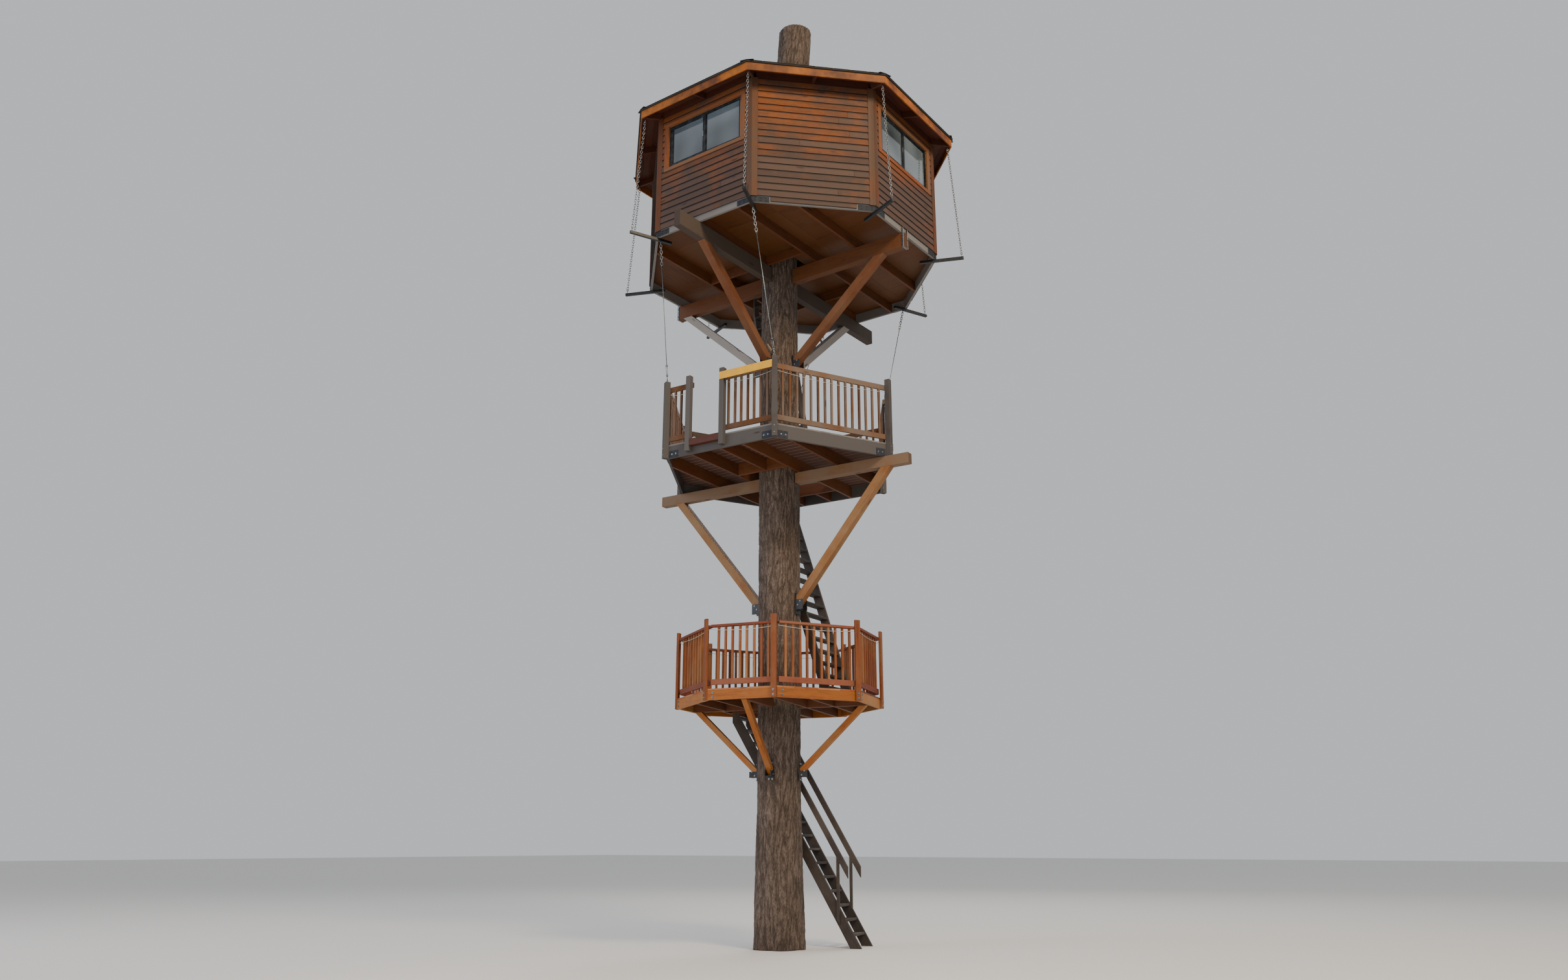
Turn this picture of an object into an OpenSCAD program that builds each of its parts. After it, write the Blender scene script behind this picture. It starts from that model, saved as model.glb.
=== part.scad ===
// Tree house on one trunk: an octagonal cabin under a low hipped roof,
// a six-sided bridge deck below it and a small landing deck, joined by three steep stairs.
// Millimetres, +Z up. The origin is on the ground at the middle of the trunk,
// and -Y is the front, where the first window is.

/* [Trunk] */
// Diameter of the trunk on the ground
trunk_foot_d = 900; // [820:10:1000]
// Diameter of the butt above the root flare
trunk_butt_d = 800; // [760:10:830]
// Height at which the root flare ends
butt_z = 900; // [600:50:1400]
// Height at which the straight shaft starts
shaft_z = 2300; // [1800:50:2500]
// Diameter along the two lower decks
trunk_d = 730; // [680:10:750]
// Height at which the shaft starts to narrow below the cabin
neck_z = 8500; // [8200:50:8800]
// Height over which it narrows
neck_h = 1100; // [600:50:1200]
// Diameter at the cabin floor
trunk_top_d = 680; // [620:10:690]
// Diameter of the cut top
trunk_tip_d = 650; // [560:10:660]
// Height of the cut top
trunk_h = 17200; // [16400:50:17500]
// Clear square hole left for the trunk in each floor
trunk_hole = 840; // [800:10:900]

/* [Cabin] */
// Distance across the outside of two opposite walls
cabin_span = 5100; // [4800:20:5400]
// How far the middle of the cabin lies from the trunk
cabin_shift = 180; // [120:10:260]
// Direction of that shift, from +X
cabin_shift_dir = 43; // [20:1:60]
// Height of the bottom of the floor rim
cabin_z = 11830; // [11600:10:12100]
// Depth of the floor joists and rim
joist_h = 190; // [160:5:220]
// Thickness of the floor sheets
floor_t = 20; // [15:1:30]
// Places of the full-length cabin joists, left to right of the trunk
cabin_joist_at = [-1300, 860, 1720];
// Thickness of a wall
wall_t = 110; // [90:5:140]
// Width of a corner board
corner_board_w = 95; // [70:5:120]
// Thickness of the corner boards and window casings
trim_t = 24; // [18:1:30]
// How far the front and back beams pass the walls
arm_tail = 500; // [400:10:560]
// How far the left and right beams pass the walls
side_arm_tail = 40; // [20:5:60]

/* [Windows] */
// Width of a window opening
window_w = 1620; // [1300:10:1640]
// Height of a window opening
window_h = 830; // [600:10:880]
// Height of the window sill above the floor
sill_h = 1100; // [1000:10:1200]
// Width of the casing boards at the sides
casing_w = 100; // [60:5:110]
// Width of the casing boards at the head and sill
casing_h = 65; // [50:5:80]
// Face width of the window frame bars
frame_bar = 42; // [30:1:60]
// Depth of the window frame
frame_depth = 70; // [50:5:90]
// Thickness of a pane
pane_t = 6; // [4:1:10]

/* [Roof] */
// Distance from the middle of the cabin to the eaves
eave_reach = 2900; // [2780:10:3050]
// Pitch of the roof
roof_pitch = 15.5; // [13:0.5:18]
// Height of the bottom of the fascia
eave_z = 14130; // [14100:10:14200]
// Height of the fascia boards
fascia_h = 150; // [135:5:180]
// Thickness of the fascia boards
fascia_t = 25; // [20:1:35]
// Depth of the rafters, square to the roof
rafter_h = 120; // [100:5:140]
// Thickness of the roof boards
roof_board_t = 20; // [16:1:30]
// Thickness of the shingles
shingle_t = 28; // [20:1:40]
// How far the shingles pass the fascia
shingle_lip = 20; // [10:1:40]
// Clear opening of the ring around the trunk
roof_hole = 860; // [820:10:940]

/* [Middle deck] */
// Distance across the middle deck between two sides
middle_span = 3760; // [3700:20:3900]
// Turn of the middle deck about the trunk
middle_turn = 4; // [0:1:5]
// Height of the bottom of its rim
middle_z = 7860; // [7780:10:7940]
// Depth of its joists and rim
middle_joist_h = 215; // [190:5:240]
// Places of its outer joists, left and right of the trunk
middle_joist_at = [-1280, 1200];
// Height of its top rail above the boards
middle_rail_h = 1045; // [950:5:1080]
// Width of the way in for each bridge
bridge_gap = 600; // [560:10:640]
// Place of the front bridge along the rim, from its middle
front_gap_at = -260; // [-300:10:-200]
// How far the beam ends pass the corners of the deck
beam_tail = 400; // [250:10:450]
// How deep a corner post is cut over the corner of the rim
post_notch = 20; // [10:1:24]
// Width and height of the bare plate on the front rail
sign_size = [1040, 130];
// Length and height of the plates at the corners of its rim
deck_plate = [240, 125];
// How far its posts pass the top rail
post_above = 100; // [60:10:140]
// How far the posts beside a way in stay above the bottom of the rim
way_post_lift = 40; // [20:5:60]
// Thickness of the bare plate on the front rail
sign_t = 12; // [8:1:20]
// How far that plate passes the top rail
sign_above = 20; // [0:5:40]

/* [Landing deck] */
// Distance across the landing deck at its short sides
landing_span = 3230; // [3160:10:3400]
// Distance across the landing deck at its long sides
landing_diag = 3118; // [3060:10:3280]
// Turn of the landing deck about the trunk
landing_turn = 15; // [10:1:20]
// Height of the bottom of its rim
landing_z = 3770; // [3650:10:3850]
// Depth of its joists and rim
landing_joist_h = 150; // [140:5:190]
// Places of its joists on each side of the trunk
landing_joist_at = [520, 1000];
// Height of its top rail above the boards
landing_rail_h = 1020; // [950:10:1070]

/* [Timber] */
// Thickness of joists, rims, rafters and stair sides
plank_t = 45; // [38:1:50]
// Thickness of the deck boards
deck_board_t = 28; // [22:1:38]
// Side of a square beam or brace
brace_w = 140; // [120:5:150]
// Depth of the beams under the cabin
beam_h = 280; // [240:10:300]
// Depth of the beams under the middle deck
deck_beam_h = 185; // [160:5:220]
// Side of a railing post
post_w = 90; // [80:5:100]
// Side of a baluster
baluster_w = 38; // [30:1:45]
// Largest distance between baluster middles
baluster_pitch = 135; // [110:1:150]
// Width of a rail
rail_w = 90; // [80:5:100]
// Thickness of a rail
rail_t = 38; // [30:1:45]
// Height of the bottom rail above the boards
rail_foot = 60; // [50:5:90]

/* [Braces] */
// Height of the cabin rim above the brace feet
cabin_brace_drop = 1880; // [1820:10:1940]
// How far the head of a cabin brace stays inside the wall line
cabin_brace_in = 350; // [300:10:400]
// Height of the middle deck above its brace feet
middle_brace_drop = 2320; // [2250:10:2400]
// How far the head of a middle brace stays inside the corner of the deck
middle_brace_in = 30; // [0:5:80]
// Height of the landing deck above its brace feet
landing_brace_drop = 1040; // [980:10:1080]
// How far the head of a landing brace stays inside the rim
landing_brace_in = 135; // [110:5:180]

/* [Stairs] */
// Slope of the stair to the landing deck
lower_slope = 60; // [57:1:64]
// Slope of the stair to the middle deck
middle_slope = 72; // [70:1:74]
// Slope of the stair to the cabin
upper_slope = 75; // [74:1:77]
// Left edge of the landing deck hatch
lower_hatch_x = -1040; // [-1060:10:-1000]
// Left edge of the middle deck hatch
middle_hatch_x = -570; // [-620:10:-540]
// Left edge of the cabin hatch
upper_hatch_x = -960; // [-1000:10:-930]
// Length of the landing deck hatch along its stair
lower_hatch_l = 960; // [900:10:980]
// Length of the middle deck hatch along its stair
middle_hatch_l = 960; // [860:10:980]
// Length of the cabin hatch along its stair
upper_hatch_l = 1000; // [900:10:1100]
// Width of the landing deck hatch
lower_hatch_w = 670; // [640:10:680]
// Width of the middle deck hatch
middle_hatch_w = 820; // [760:10:880]
// Width of the cabin hatch
upper_hatch_w = 770; // [740:10:790]
// Depth of a stair side
stringer_h = 160; // [140:5:190]
// Largest rise of a tread
riser = 230; // [200:5:250]
// Thickness of a tread
tread_t = 38; // [30:1:45]
// Height of the hand rail of the lower stair above its sides
guard_h = 900; // [850:10:950]
// How far the posts of the hand rail reach below the upper edge of a stair side
guard_foot = 240; // [200:10:260]
// How far the hand rail passes its posts
guard_tail = 150; // [100:10:200]
// Room between the landing rim and the upper end of the hand rail
guard_room = 320; // [300:10:400]
// Height of the lower post of the hand rail on the stair
guard_start = 600; // [500:10:700]

/* [Steelwork] */
// Thickness of the brace seats
seat_t = 16; // [10:1:20]
// How far a brace seat stands out from the trunk
seat_reach = 150; // [120:5:180]
// Thickness of the cheeks of a brace seat
cheek_t = 8; // [5:1:12]
// Length of the steel arm past a cabin corner
arm_reach = 500; // [400:10:560]
// Length of the steel arm inside that corner
arm_root = 300; // [240:10:340]
// How far inside that corner the arm carries a hanger rod
hanger_in = 90; // [60:10:140]
// Side of the steel arms
arm_w = 50; // [40:5:60]
// Diameter of the hanger rods
rod_d = 14; // [10:1:20]
// Thickness of the corner plates
plate_t = 6; // [4:1:10]
// Length of the corner plates
plate_l = 300; // [240:5:340]
// Height of the corner plates
plate_h = 100; // [80:5:110]

/* [Fit] */
// Gap left at a seated joint
seat = 0.3; // [0.2:0.1:0.5]
// Gap left where two boards meet end to end
joint = 1.5; // [0.6:0.1:3]
// Room between a stair side and the edge of its hatch
hatch_room = 12; // [8:1:20]

/* [Hidden] */
$fn = 32;

// Side 0 of every outline faces the front, and the sides follow anticlockwise.
EIGHT = [0:7];
SIX = [0:5];
half = 22.5;
hex_half = 30;

// A length past the edge of every floor
far = 4000;
// How far the upper end of a stair side stays below the boards it leads to
nosing = 5;
// How far two shapes of one piece run into each other
lap = 10;

cabin_a = cabin_span / 2;
cabin_off = cabin_shift * [cos(cabin_shift_dir), sin(cabin_shift_dir)];
// An outline is its turn, the reach of its even sides, of its odd sides, and the turn from side to side
CABIN = [-90, cabin_a, cabin_a, 45];
EAVES = [-90, eave_reach, eave_reach, 45];
MIDDLE = [-90, middle_span / 2, middle_span / 2, 60];
LANDING = [-90, landing_span / 2, landing_diag / 2, 45];

// Corner reach of the middle deck
deck_r = middle_span / 2 / cos(hex_half);
trunk_r = trunk_d / 2;
top_r = trunk_top_d / 2;
hole = trunk_hole / 2;

floor_z = cabin_z + joist_h;
room_z = floor_z + floor_t;
pitch_t = tan(roof_pitch);
rafter_v = rafter_h / cos(roof_pitch);
// Underside of the roof boards above the middle of the cabin
roof_z = eave_z + rafter_v + seat + eave_reach * pitch_t;
wall_top = eave_z + (eave_reach - cabin_a) * pitch_t - seat;
lean_z = room_z;
lean = atan(cabin_shift / (roof_z - lean_z));

middle_top = middle_z + middle_joist_h + deck_board_t;
landing_top = landing_z + landing_joist_h + deck_board_t;

// Reach of side k of an outline
function reach(o, k) = (k + 8) % 2 == 0 ? o[1] : o[2];
// Place of the corner after side k along that side, for lines set in by inset
function tip(o, k, inset) = (reach(o, k + 1) - inset - (reach(o, k) - inset) * cos(o[3])) / sin(o[3]);
// The same for the corner before side k
function heel(o, k, inset) = -(reach(o, k - 1) - inset - (reach(o, k) - inset) * cos(o[3])) / sin(o[3]);
// Plan point of the corner after side k
function corner(o, k, inset = 0) = let (n = o[0] + o[3] * k, p = reach(o, k) - inset, t = tip(o, k, inset))
    [p * cos(n) - t * sin(n), p * sin(n) + t * cos(n)];
// Underside of the roof boards at a distance from the middle of the cabin
function roof_under(a) = roof_z - a * pitch_t;

// A flat prism with the outline as its plan
module slab(o, inset, z, h) {
    translate([0, 0, z])
        linear_extrude(h)
            polygon([for (k = [0:360 / o[3] - 1]) corner(o, k, inset)]);
}

// A board along side k between two insets, mitred at both ends
module side_board(o, k, outer, inner, z, h, gap = joint) {
    p = reach(o, k);
    rotate([0, 0, o[0] + o[3] * k])
        translate([0, 0, z])
            linear_extrude(h)
                polygon([
                    [p - outer, heel(o, k, outer) + gap / 2], [p - outer, tip(o, k, outer) - gap / 2],
                    [p - inner, tip(o, k, inner) - gap / 2], [p - inner, heel(o, k, inner) + gap / 2]
                ]);
}

// A block on side k from t0 to t1 along it, x0 to x1 from the middle
module side_block(o, k, x0, x1, t0, t1, z, h) {
    rotate([0, 0, o[0] + o[3] * k])
        translate([x0, t0, z])
            cube([x1 - x0, t1 - t0, h]);
}

// A straight round bar between two points
module rod(p, q, d) {
    v = q - p;
    translate(p)
        rotate([0, acos(v[2] / norm(v)), atan2(v[1], v[0])])
            cylinder(h = norm(v), d = d, $fn = 16);
}

module at_cabin() {
    translate([cabin_off[0], cabin_off[1], 0]) children();
}

module at_middle() {
    rotate([0, 0, middle_turn]) children();
}

module at_landing() {
    rotate([0, 0, landing_turn]) children();
}

// Trunk: flared butt, straight shaft, and the leaning top that meets the roof ring
module trunk() {
    color("dimgray") {
        rotate_extrude()
            polygon([
                [0, 0], [trunk_foot_d / 2, 0], [trunk_butt_d / 2, butt_z],
                [trunk_r, shaft_z], [trunk_r, neck_z], [top_r, neck_z + neck_h],
                [top_r, lean_z], [0, lean_z]
            ]);
        translate([0, 0, lean_z])
            rotate([0, 0, cabin_shift_dir])
                rotate([0, lean, 0])
                    translate([0, 0, -60])
                        cylinder(h = (trunk_h - lean_z) / cos(lean) + 60, r1 = top_r - 8, r2 = trunk_tip_d / 2);
    }
}

// Knee braces: foot height on the trunk, head height, head reach, timber side
CABIN_BRACE = [cabin_z - cabin_brace_drop, cabin_z - beam_h, cabin_a - cabin_brace_in, brace_w];
MIDDLE_BRACE = [middle_z - middle_brace_drop, middle_z - deck_beam_h, deck_r - middle_brace_in, brace_w];
LANDING_BRACE = [landing_z - landing_brace_drop, landing_z, landing_span / 2 - landing_brace_in, post_w];

// The foot bears on the back plate of its seat
function foot_x(shaft_r) = shaft_r + seat_t + 2 * seat;
function brace_slope(b, shaft_r) = atan((b[1] - seat - b[0]) / (b[2] - foot_x(shaft_r)));

// Knee brace toward +X: a square timber cut plumb at the foot and level at the head
module knee_brace(b, shaft_r) {
    slope = brace_slope(b, shaft_r);
    v = b[3] / cos(slope) / 2;
    u = b[3] / sin(slope) / 2;
    x0 = foot_x(shaft_r);
    z1 = b[1] - seat;
    rotate([90, 0, 0])
        translate([0, 0, -b[3] / 2])
            linear_extrude(b[3])
                polygon([[x0, b[0] - v], [x0, b[0] + v], [b[2] - u, z1], [b[2] + u, z1]]);
}

// Steel seat of a brace toward +X: back plate, shelf under the foot and two cheeks
module brace_shoe(b, shaft_r) {
    w = b[3];
    v = w / cos(brace_slope(b, shaft_r)) / 2;
    shelf_z = b[0] - v - seat - seat_t;
    x0 = shaft_r + seat;
    side = w / 2 + seat;
    translate([x0, -side - cheek_t, shelf_z - w / 2])
        cube([seat_t, 2 * (side + cheek_t), 2 * v + w]);
    translate([x0, -side - cheek_t, shelf_z])
        cube([seat_reach / 2, 2 * (side + cheek_t), seat_t]);
    for (y = [-side - cheek_t, side])
        translate([x0, y, shelf_z])
            cube([seat_reach, cheek_t, 1.6 * v]);
}

module brace_seats() {
    color("black") {
        for (k = [0:3])
            rotate([0, 0, 90 * k])
                brace_shoe(CABIN_BRACE, top_r);
        at_middle()
            for (k = [0, 2])
                rotate([0, 0, 90 * k])
                    brace_shoe(MIDDLE_BRACE, trunk_r);
        at_landing()
            for (k = LANDING_SIDES)
                rotate([0, 0, 90 * k])
                    brace_shoe(LANDING_BRACE, trunk_r);
    }
}

// The landing deck has braces right, left and in front; the stair passes at the back
LANDING_SIDES = [0, 2, 3];

// Reach of the cabin arms from the trunk to the right, back, left and front
ARM_END = [
    cabin_a + cabin_off[0] + side_arm_tail, cabin_a + cabin_off[1] + arm_tail,
    cabin_a - cabin_off[0] + side_arm_tail, cabin_a - cabin_off[1] + arm_tail
];

module cabin_arms() {
    color("sienna")
        for (k = [0:3])
            rotate([0, 0, 90 * k])
                translate([top_r + seat, -brace_w / 2, cabin_z - beam_h])
                    cube([ARM_END[k] - top_r, brace_w, beam_h - seat]);
}

module cabin_braces() {
    color("peru")
        for (k = [0:3])
            rotate([0, 0, 90 * k])
                knee_brace(CABIN_BRACE, top_r);
}

module cabin_rim() {
    color("gray")
        at_cabin()
            for (k = EIGHT)
                side_board(CABIN, k, 0, plank_t, cabin_z, joist_h);
}

// Joists along Y, trimmed around the trunk and the hatch of a floor.
// off is the middle of the outline, xs are the joists from rim to rim, hatch is [x0, x1, y1].
module joist_field(o, off, inset, z, h, xs, hatch) {
    t = plank_t;
    left = max([for (x = xs) if (x < hatch[0] - t / 2 + 1) x]) + t / 2 + seat;
    right = min([for (x = xs) if (x > hole) x]) - t / 2 - seat;
    intersection() {
        translate([off[0], off[1], 0]) slab(o, inset, z, h);
        union() {
            for (x = xs)
                translate([x - t / 2, -far, z]) cube([t, 2 * far, h]);
            for (y = [-hole - t, hatch[2]])
                translate([left, y, z]) cube([right - left, t, h]);
            translate([hatch[0] + seat, hole - t, z]) cube([right - hatch[0] - seat, t, h]);
            if (left < hatch[0] - t)
                translate([hatch[0] - t, seat - hole, z]) cube([t, hatch[2] + hole - 2 * seat, h]);
            translate([-t / 2, -far, z]) cube([t, far - hole - t - seat, h]);
            translate([-t / 2, hatch[2] + t + seat, z]) cube([t, far, h]);
        }
    }
}

// Floor sheets around the trunk hole and a hatch: all convex pieces.
module floor_sheets(o, off, inset, z, t, hatch) {
    g = joint / 2;
    for (b = [
        [-far, far, -far, -hole], [-far, -hole, -hole, hole], [hole, far, -hole, hole],
        [-far, hatch[0], hole, far], [hatch[0], hatch[1], hatch[2], far], [hatch[1], far, hole, far]
    ])
        intersection() {
            translate([off[0], off[1], 0]) slab(o, inset, z, t);
            translate([b[0] + g, b[2] + g, z - 1])
                cube([b[1] - b[0] - 2 * g, b[3] - b[2] - 2 * g, t + 2]);
        }
}

// Hatches behind the trunk: left edge, right edge and back edge
UPPER_HATCH = [upper_hatch_x, upper_hatch_x + upper_hatch_w, hole + upper_hatch_l];
MIDDLE_HATCH = [middle_hatch_x, middle_hatch_x + middle_hatch_l, hole + middle_hatch_w];
LOWER_HATCH = [lower_hatch_x, lower_hatch_x + lower_hatch_l, hole + lower_hatch_w];

module cabin_joists() {
    color("saddlebrown")
        joist_field(CABIN, cabin_off, plank_t + seat, cabin_z, joist_h - seat, cabin_joist_at, UPPER_HATCH);
}

module cabin_floor() {
    color("burlywood")
        floor_sheets(CABIN, cabin_off, 0, floor_z, floor_t - seat, UPPER_HATCH);
}

function has_window(k) = k % 2 == 0;
wall_h = wall_top - room_z;

// Window box on side k, grown sideways by s and cut from x0 to x1
module window_box(k, s, x0, x1) {
    side_block(CABIN, k, x0, x1, -window_w / 2 - s, window_w / 2 + s, room_z + sill_h - s, window_h + 2 * s);
}

module cabin_wall(k) {
    color(k % 2 == 0 ? "chocolate" : "sienna")
        at_cabin()
            difference() {
                side_board(CABIN, k, 0, wall_t, room_z, wall_h);
                if (has_window(k)) window_box(k, 0, cabin_a - wall_t - 10, cabin_a + 10);
            }
}

module wall_front() { cabin_wall(0); }
module wall_front_right() { cabin_wall(1); }
module wall_right() { cabin_wall(2); }
module wall_back_right() { cabin_wall(3); }
module wall_back() { cabin_wall(4); }
module wall_back_left() { cabin_wall(5); }
module wall_left() { cabin_wall(6); }
module wall_front_left() { cabin_wall(7); }

// Two boards at every corner of the cabin, mitred against each other
module corner_boards() {
    z = cabin_z + plate_h + joint;
    h = wall_top - z;
    color("tan")
        at_cabin()
            for (k = EIGHT) {
                intersection() {
                    side_board(CABIN, k, -trim_t, -seat, z, h);
                    side_block(CABIN, k, cabin_a, cabin_a + 3 * trim_t, tip(CABIN, k, 0) - corner_board_w, far, z, h);
                }
                intersection() {
                    side_board(CABIN, k, -trim_t, -seat, z, h);
                    side_block(CABIN, k, cabin_a, cabin_a + 3 * trim_t, -far, heel(CABIN, k, 0) + corner_board_w, z, h);
                }
            }
}

// Head, sill and side boards around each window
module window_casings() {
    w = window_w / 2;
    z = room_z + sill_h;
    x0 = cabin_a + seat;
    x1 = cabin_a + trim_t;
    side_w = min(casing_w, tip(CABIN, 0, 0) - corner_board_w - w - joint);
    color("peru")
        at_cabin()
            for (k = EIGHT)
                if (has_window(k)) {
                    side_block(CABIN, k, x0, x1, -w - side_w, w + side_w, z - casing_h, casing_h);
                    side_block(CABIN, k, x0, x1, -w - side_w, -w, z + joint, window_h - 2 * joint);
                    side_block(CABIN, k, x0, x1, w, w + side_w, z + joint, window_h - 2 * joint);
                    side_block(CABIN, k, x0, x1, -w - side_w, w + side_w, z + window_h,
                        min(casing_h, wall_top - z - window_h - 2));
                }
}

// Frame bars of each sliding window, with the meeting stile in the middle
module window_frames() {
    w = window_w / 2 - seat;
    b = frame_bar;
    z = room_z + sill_h + seat;
    h = window_h - 2 * seat;
    x0 = cabin_a - frame_depth;
    x1 = cabin_a - 5;
    color("dimgray")
        at_cabin()
            for (k = EIGHT)
                if (has_window(k)) {
                    side_block(CABIN, k, x0, x1, -w, w, z, b);
                    side_block(CABIN, k, x0, x1, -w, w, z + h - b, b);
                    side_block(CABIN, k, x0, x1, -w, b - w, z + b + seat, h - 2 * b - 2 * seat);
                    side_block(CABIN, k, x0, x1, w - b, w, z + b + seat, h - 2 * b - 2 * seat);
                    side_block(CABIN, k, x0, x1, -b / 2, b / 2, z + b + seat, h - 2 * b - 2 * seat);
                }
}

// Two panes in each window
module window_glass() {
    w = window_w / 2 - 2 * seat;
    b = frame_bar;
    z = room_z + sill_h + b + 3 * seat;
    h = window_h - 2 * b - 6 * seat;
    x0 = cabin_a - frame_depth / 2;
    color("lightsteelblue")
        at_cabin()
            for (k = EIGHT)
                if (has_window(k)) {
                    side_block(CABIN, k, x0, x0 + pane_t, b - w + seat, -b / 2 - seat, z, h);
                    side_block(CABIN, k, x0, x0 + pane_t, b / 2 + seat, w - b - seat, z, h);
                }
}

// Short boards that close the gap between a wall and the roof boards
module frieze_blocks() {
    h = roof_under(cabin_a) - wall_top - 2 * seat;
    c = plank_t / 2 + seat;
    color("saddlebrown")
        at_cabin()
            for (k = EIGHT) {
                side_block(CABIN, k, cabin_a - 40, cabin_a, heel(CABIN, k, 40) + plank_t, -c, wall_top + seat, h);
                side_block(CABIN, k, cabin_a - 40, cabin_a, c, tip(CABIN, k, 40) - plank_t, wall_top + seat, h);
            }
}

ring_out = roof_hole / 2 + plank_t;
// A hip rafter lies lower than the roof plane by what its square edges need
hip_drop = plank_t / 2 * sin(half) * pitch_t + seat;
hip_t = pitch_t * cos(half);
fascia_in = eave_reach - fascia_t;

// A rafter toward +X from x0 to x1 under a slope, its top at z0 above the middle
module rafter(x0, x1, z0, slope_t, depth) {
    rotate([90, 0, 0])
        translate([0, 0, -plank_t / 2])
            linear_extrude(plank_t)
                polygon([
                    [x0, z0 - x0 * slope_t - depth], [x1, z0 - x1 * slope_t - depth],
                    [x1, z0 - x1 * slope_t], [x0, z0 - x0 * slope_t]
                ]);
}

// Ring around the trunk, eight hips to the corners and a rafter between each two
module roof_rafters() {
    color("saddlebrown")
        at_cabin() {
            for (k = EIGHT) {
                side_board([-90, ring_out, ring_out, 45], k, 0, plank_t,
                    roof_under(ring_out) - rafter_v - 20, rafter_v + 20 - seat);
                rotate([0, 0, 45 * k])
                    rafter(ring_out + seat, fascia_in - seat, roof_z - seat, pitch_t, rafter_v - seat);
                rotate([0, 0, 45 * k + half])
                    rafter(ring_out / cos(half) + seat,
                        fascia_in / cos(half) - plank_t / 2 * tan(half) - seat,
                        roof_z - hip_drop, hip_t, rafter_v - hip_drop);
            }
        }
}

// One face of the roof: a sloping slab cut to its eighth
module roof_face(k, a0, a1, z0, t) {
    v = t / cos(roof_pitch);
    intersection() {
        rotate([0, 0, -90 + 45 * k])
            rotate([90, 0, 0])
                translate([0, 0, -a1])
                    linear_extrude(2 * a1)
                        polygon([
                            [a0, z0 - a0 * pitch_t], [a1, z0 - a1 * pitch_t],
                            [a1, z0 - a1 * pitch_t + v], [a0, z0 - a0 * pitch_t + v]
                        ]);
        side_board([-90, a1, a1, 45], k, 0, a1 - a0, z0 - a1 * pitch_t - 100, a1 * pitch_t + v + 200);
    }
}

module roof_boards() {
    color("sienna")
        at_cabin()
            for (k = EIGHT)
                roof_face(k, roof_hole / 2, fascia_in - seat, roof_z, roof_board_t);
}

module roof_shingles() {
    lift = (roof_board_t + seat) / cos(roof_pitch);
    color("darkslategray")
        at_cabin()
            for (k = EIGHT)
                roof_face(k, roof_hole / 2, eave_reach + shingle_lip, roof_z + lift, shingle_t);
}

module fascia() {
    color("chocolate")
        at_cabin()
            for (k = EIGHT)
                side_board(EAVES, k, 0, fascia_t, eave_z, min(fascia_h, roof_under(eave_reach) - eave_z
                    + roof_board_t / cos(roof_pitch) - seat));
}

cabin_r = cabin_a / cos(half);
rod_at = cabin_r + arm_reach - 0.6 * arm_w;

// Steel arm under every corner of the cabin, out past the wall
module corner_arms() {
    color("black")
        at_cabin()
            for (k = EIGHT)
                rotate([0, 0, 45 * k + half])
                    translate([cabin_r - arm_root, -arm_w / 2, cabin_z - arm_w - seat])
                        cube([arm_root + arm_reach, arm_w, arm_w]);
}

// Two plates at a corner of a rim, left clear of the corner by gap
module rim_plates(o, k, l, z, h, gap) {
    p = reach(o, k);
    intersection() {
        side_board(o, k, -plate_t, -seat, z, h);
        side_block(o, k, p, p + 60, tip(o, k, 0) - l, tip(o, k, -plate_t) - gap, z, h);
    }
    intersection() {
        side_board(o, k, -plate_t, -seat, z, h);
        side_block(o, k, p, p + 60, heel(o, k, -plate_t) + gap, heel(o, k, 0) + l, z, h);
    }
}

module corner_plates() {
    color("black")
        at_cabin()
            for (k = EIGHT)
                rim_plates(CABIN, k, plate_l, cabin_z, plate_h, 0);
}

// Room that the tilted end of a rod from p to q needs
function end_room(p, q) = rod_d / 2 * norm([q[0] - p[0], q[1] - p[1]]) / norm(q - p) + 2 * seat;

// A rod from the top of one piece at p up to the underside of another at q
module tie(p, q) {
    r = end_room(p, q);
    rod(p + [0, 0, r], q - [0, 0, r], rod_d);
}

// Rods from the arm ends to the tails of the hips
module eave_rods() {
    top_at = fascia_in / cos(half) - plank_t - rod_d;
    under = roof_z - hip_drop - top_at * hip_t - (rafter_v - hip_drop);
    color("silver")
        at_cabin()
            for (k = EIGHT)
                rotate([0, 0, 45 * k + half])
                    tie([rod_at, 0, cabin_z], [top_at, 0, under - rod_d / 2 * hip_t]);
}

post_r = deck_r - post_notch + post_w / 2;
hanger_top = cabin_z - arm_w - seat;
middle_post_top = middle_top + middle_rail_h + post_above;
// Corners of the middle deck that hang from the cabin, and the cabin corners that carry them
HUNG = [[0, 0], [2, 3], [3, 4], [5, 7]];

// Hanger rods from the arms under the cabin down to four corner posts of the middle deck
module deck_hangers() {
    in_r = cabin_r - hanger_in;
    color("silver")
        for (h = HUNG) {
            a = middle_turn - 60 + 60 * h[0];
            c = -90 + half + 45 * h[1];
            tie([post_r * cos(a), post_r * sin(a), middle_post_top],
                [cabin_off[0] + in_r * cos(c), cabin_off[1] + in_r * sin(c), hanger_top]);
        }
}

// Beams left and right of the trunk, under two corners of the deck
module middle_beams() {
    color("sienna")
        at_middle()
            for (k = [0, 1])
                rotate([0, 0, 180 * k])
                    translate([trunk_r + seat, -brace_w / 2, middle_z - deck_beam_h])
                        cube([deck_r + beam_tail - trunk_r, brace_w, deck_beam_h - seat]);
}

module middle_braces() {
    color("peru")
        at_middle()
            for (k = [0, 1])
                rotate([0, 0, 180 * k])
                    knee_brace(MIDDLE_BRACE, trunk_r);
}

module middle_rim() {
    color("gray")
        at_middle()
            for (k = SIX)
                side_board(MIDDLE, k, 0, plank_t, middle_z, middle_joist_h);
}

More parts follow.
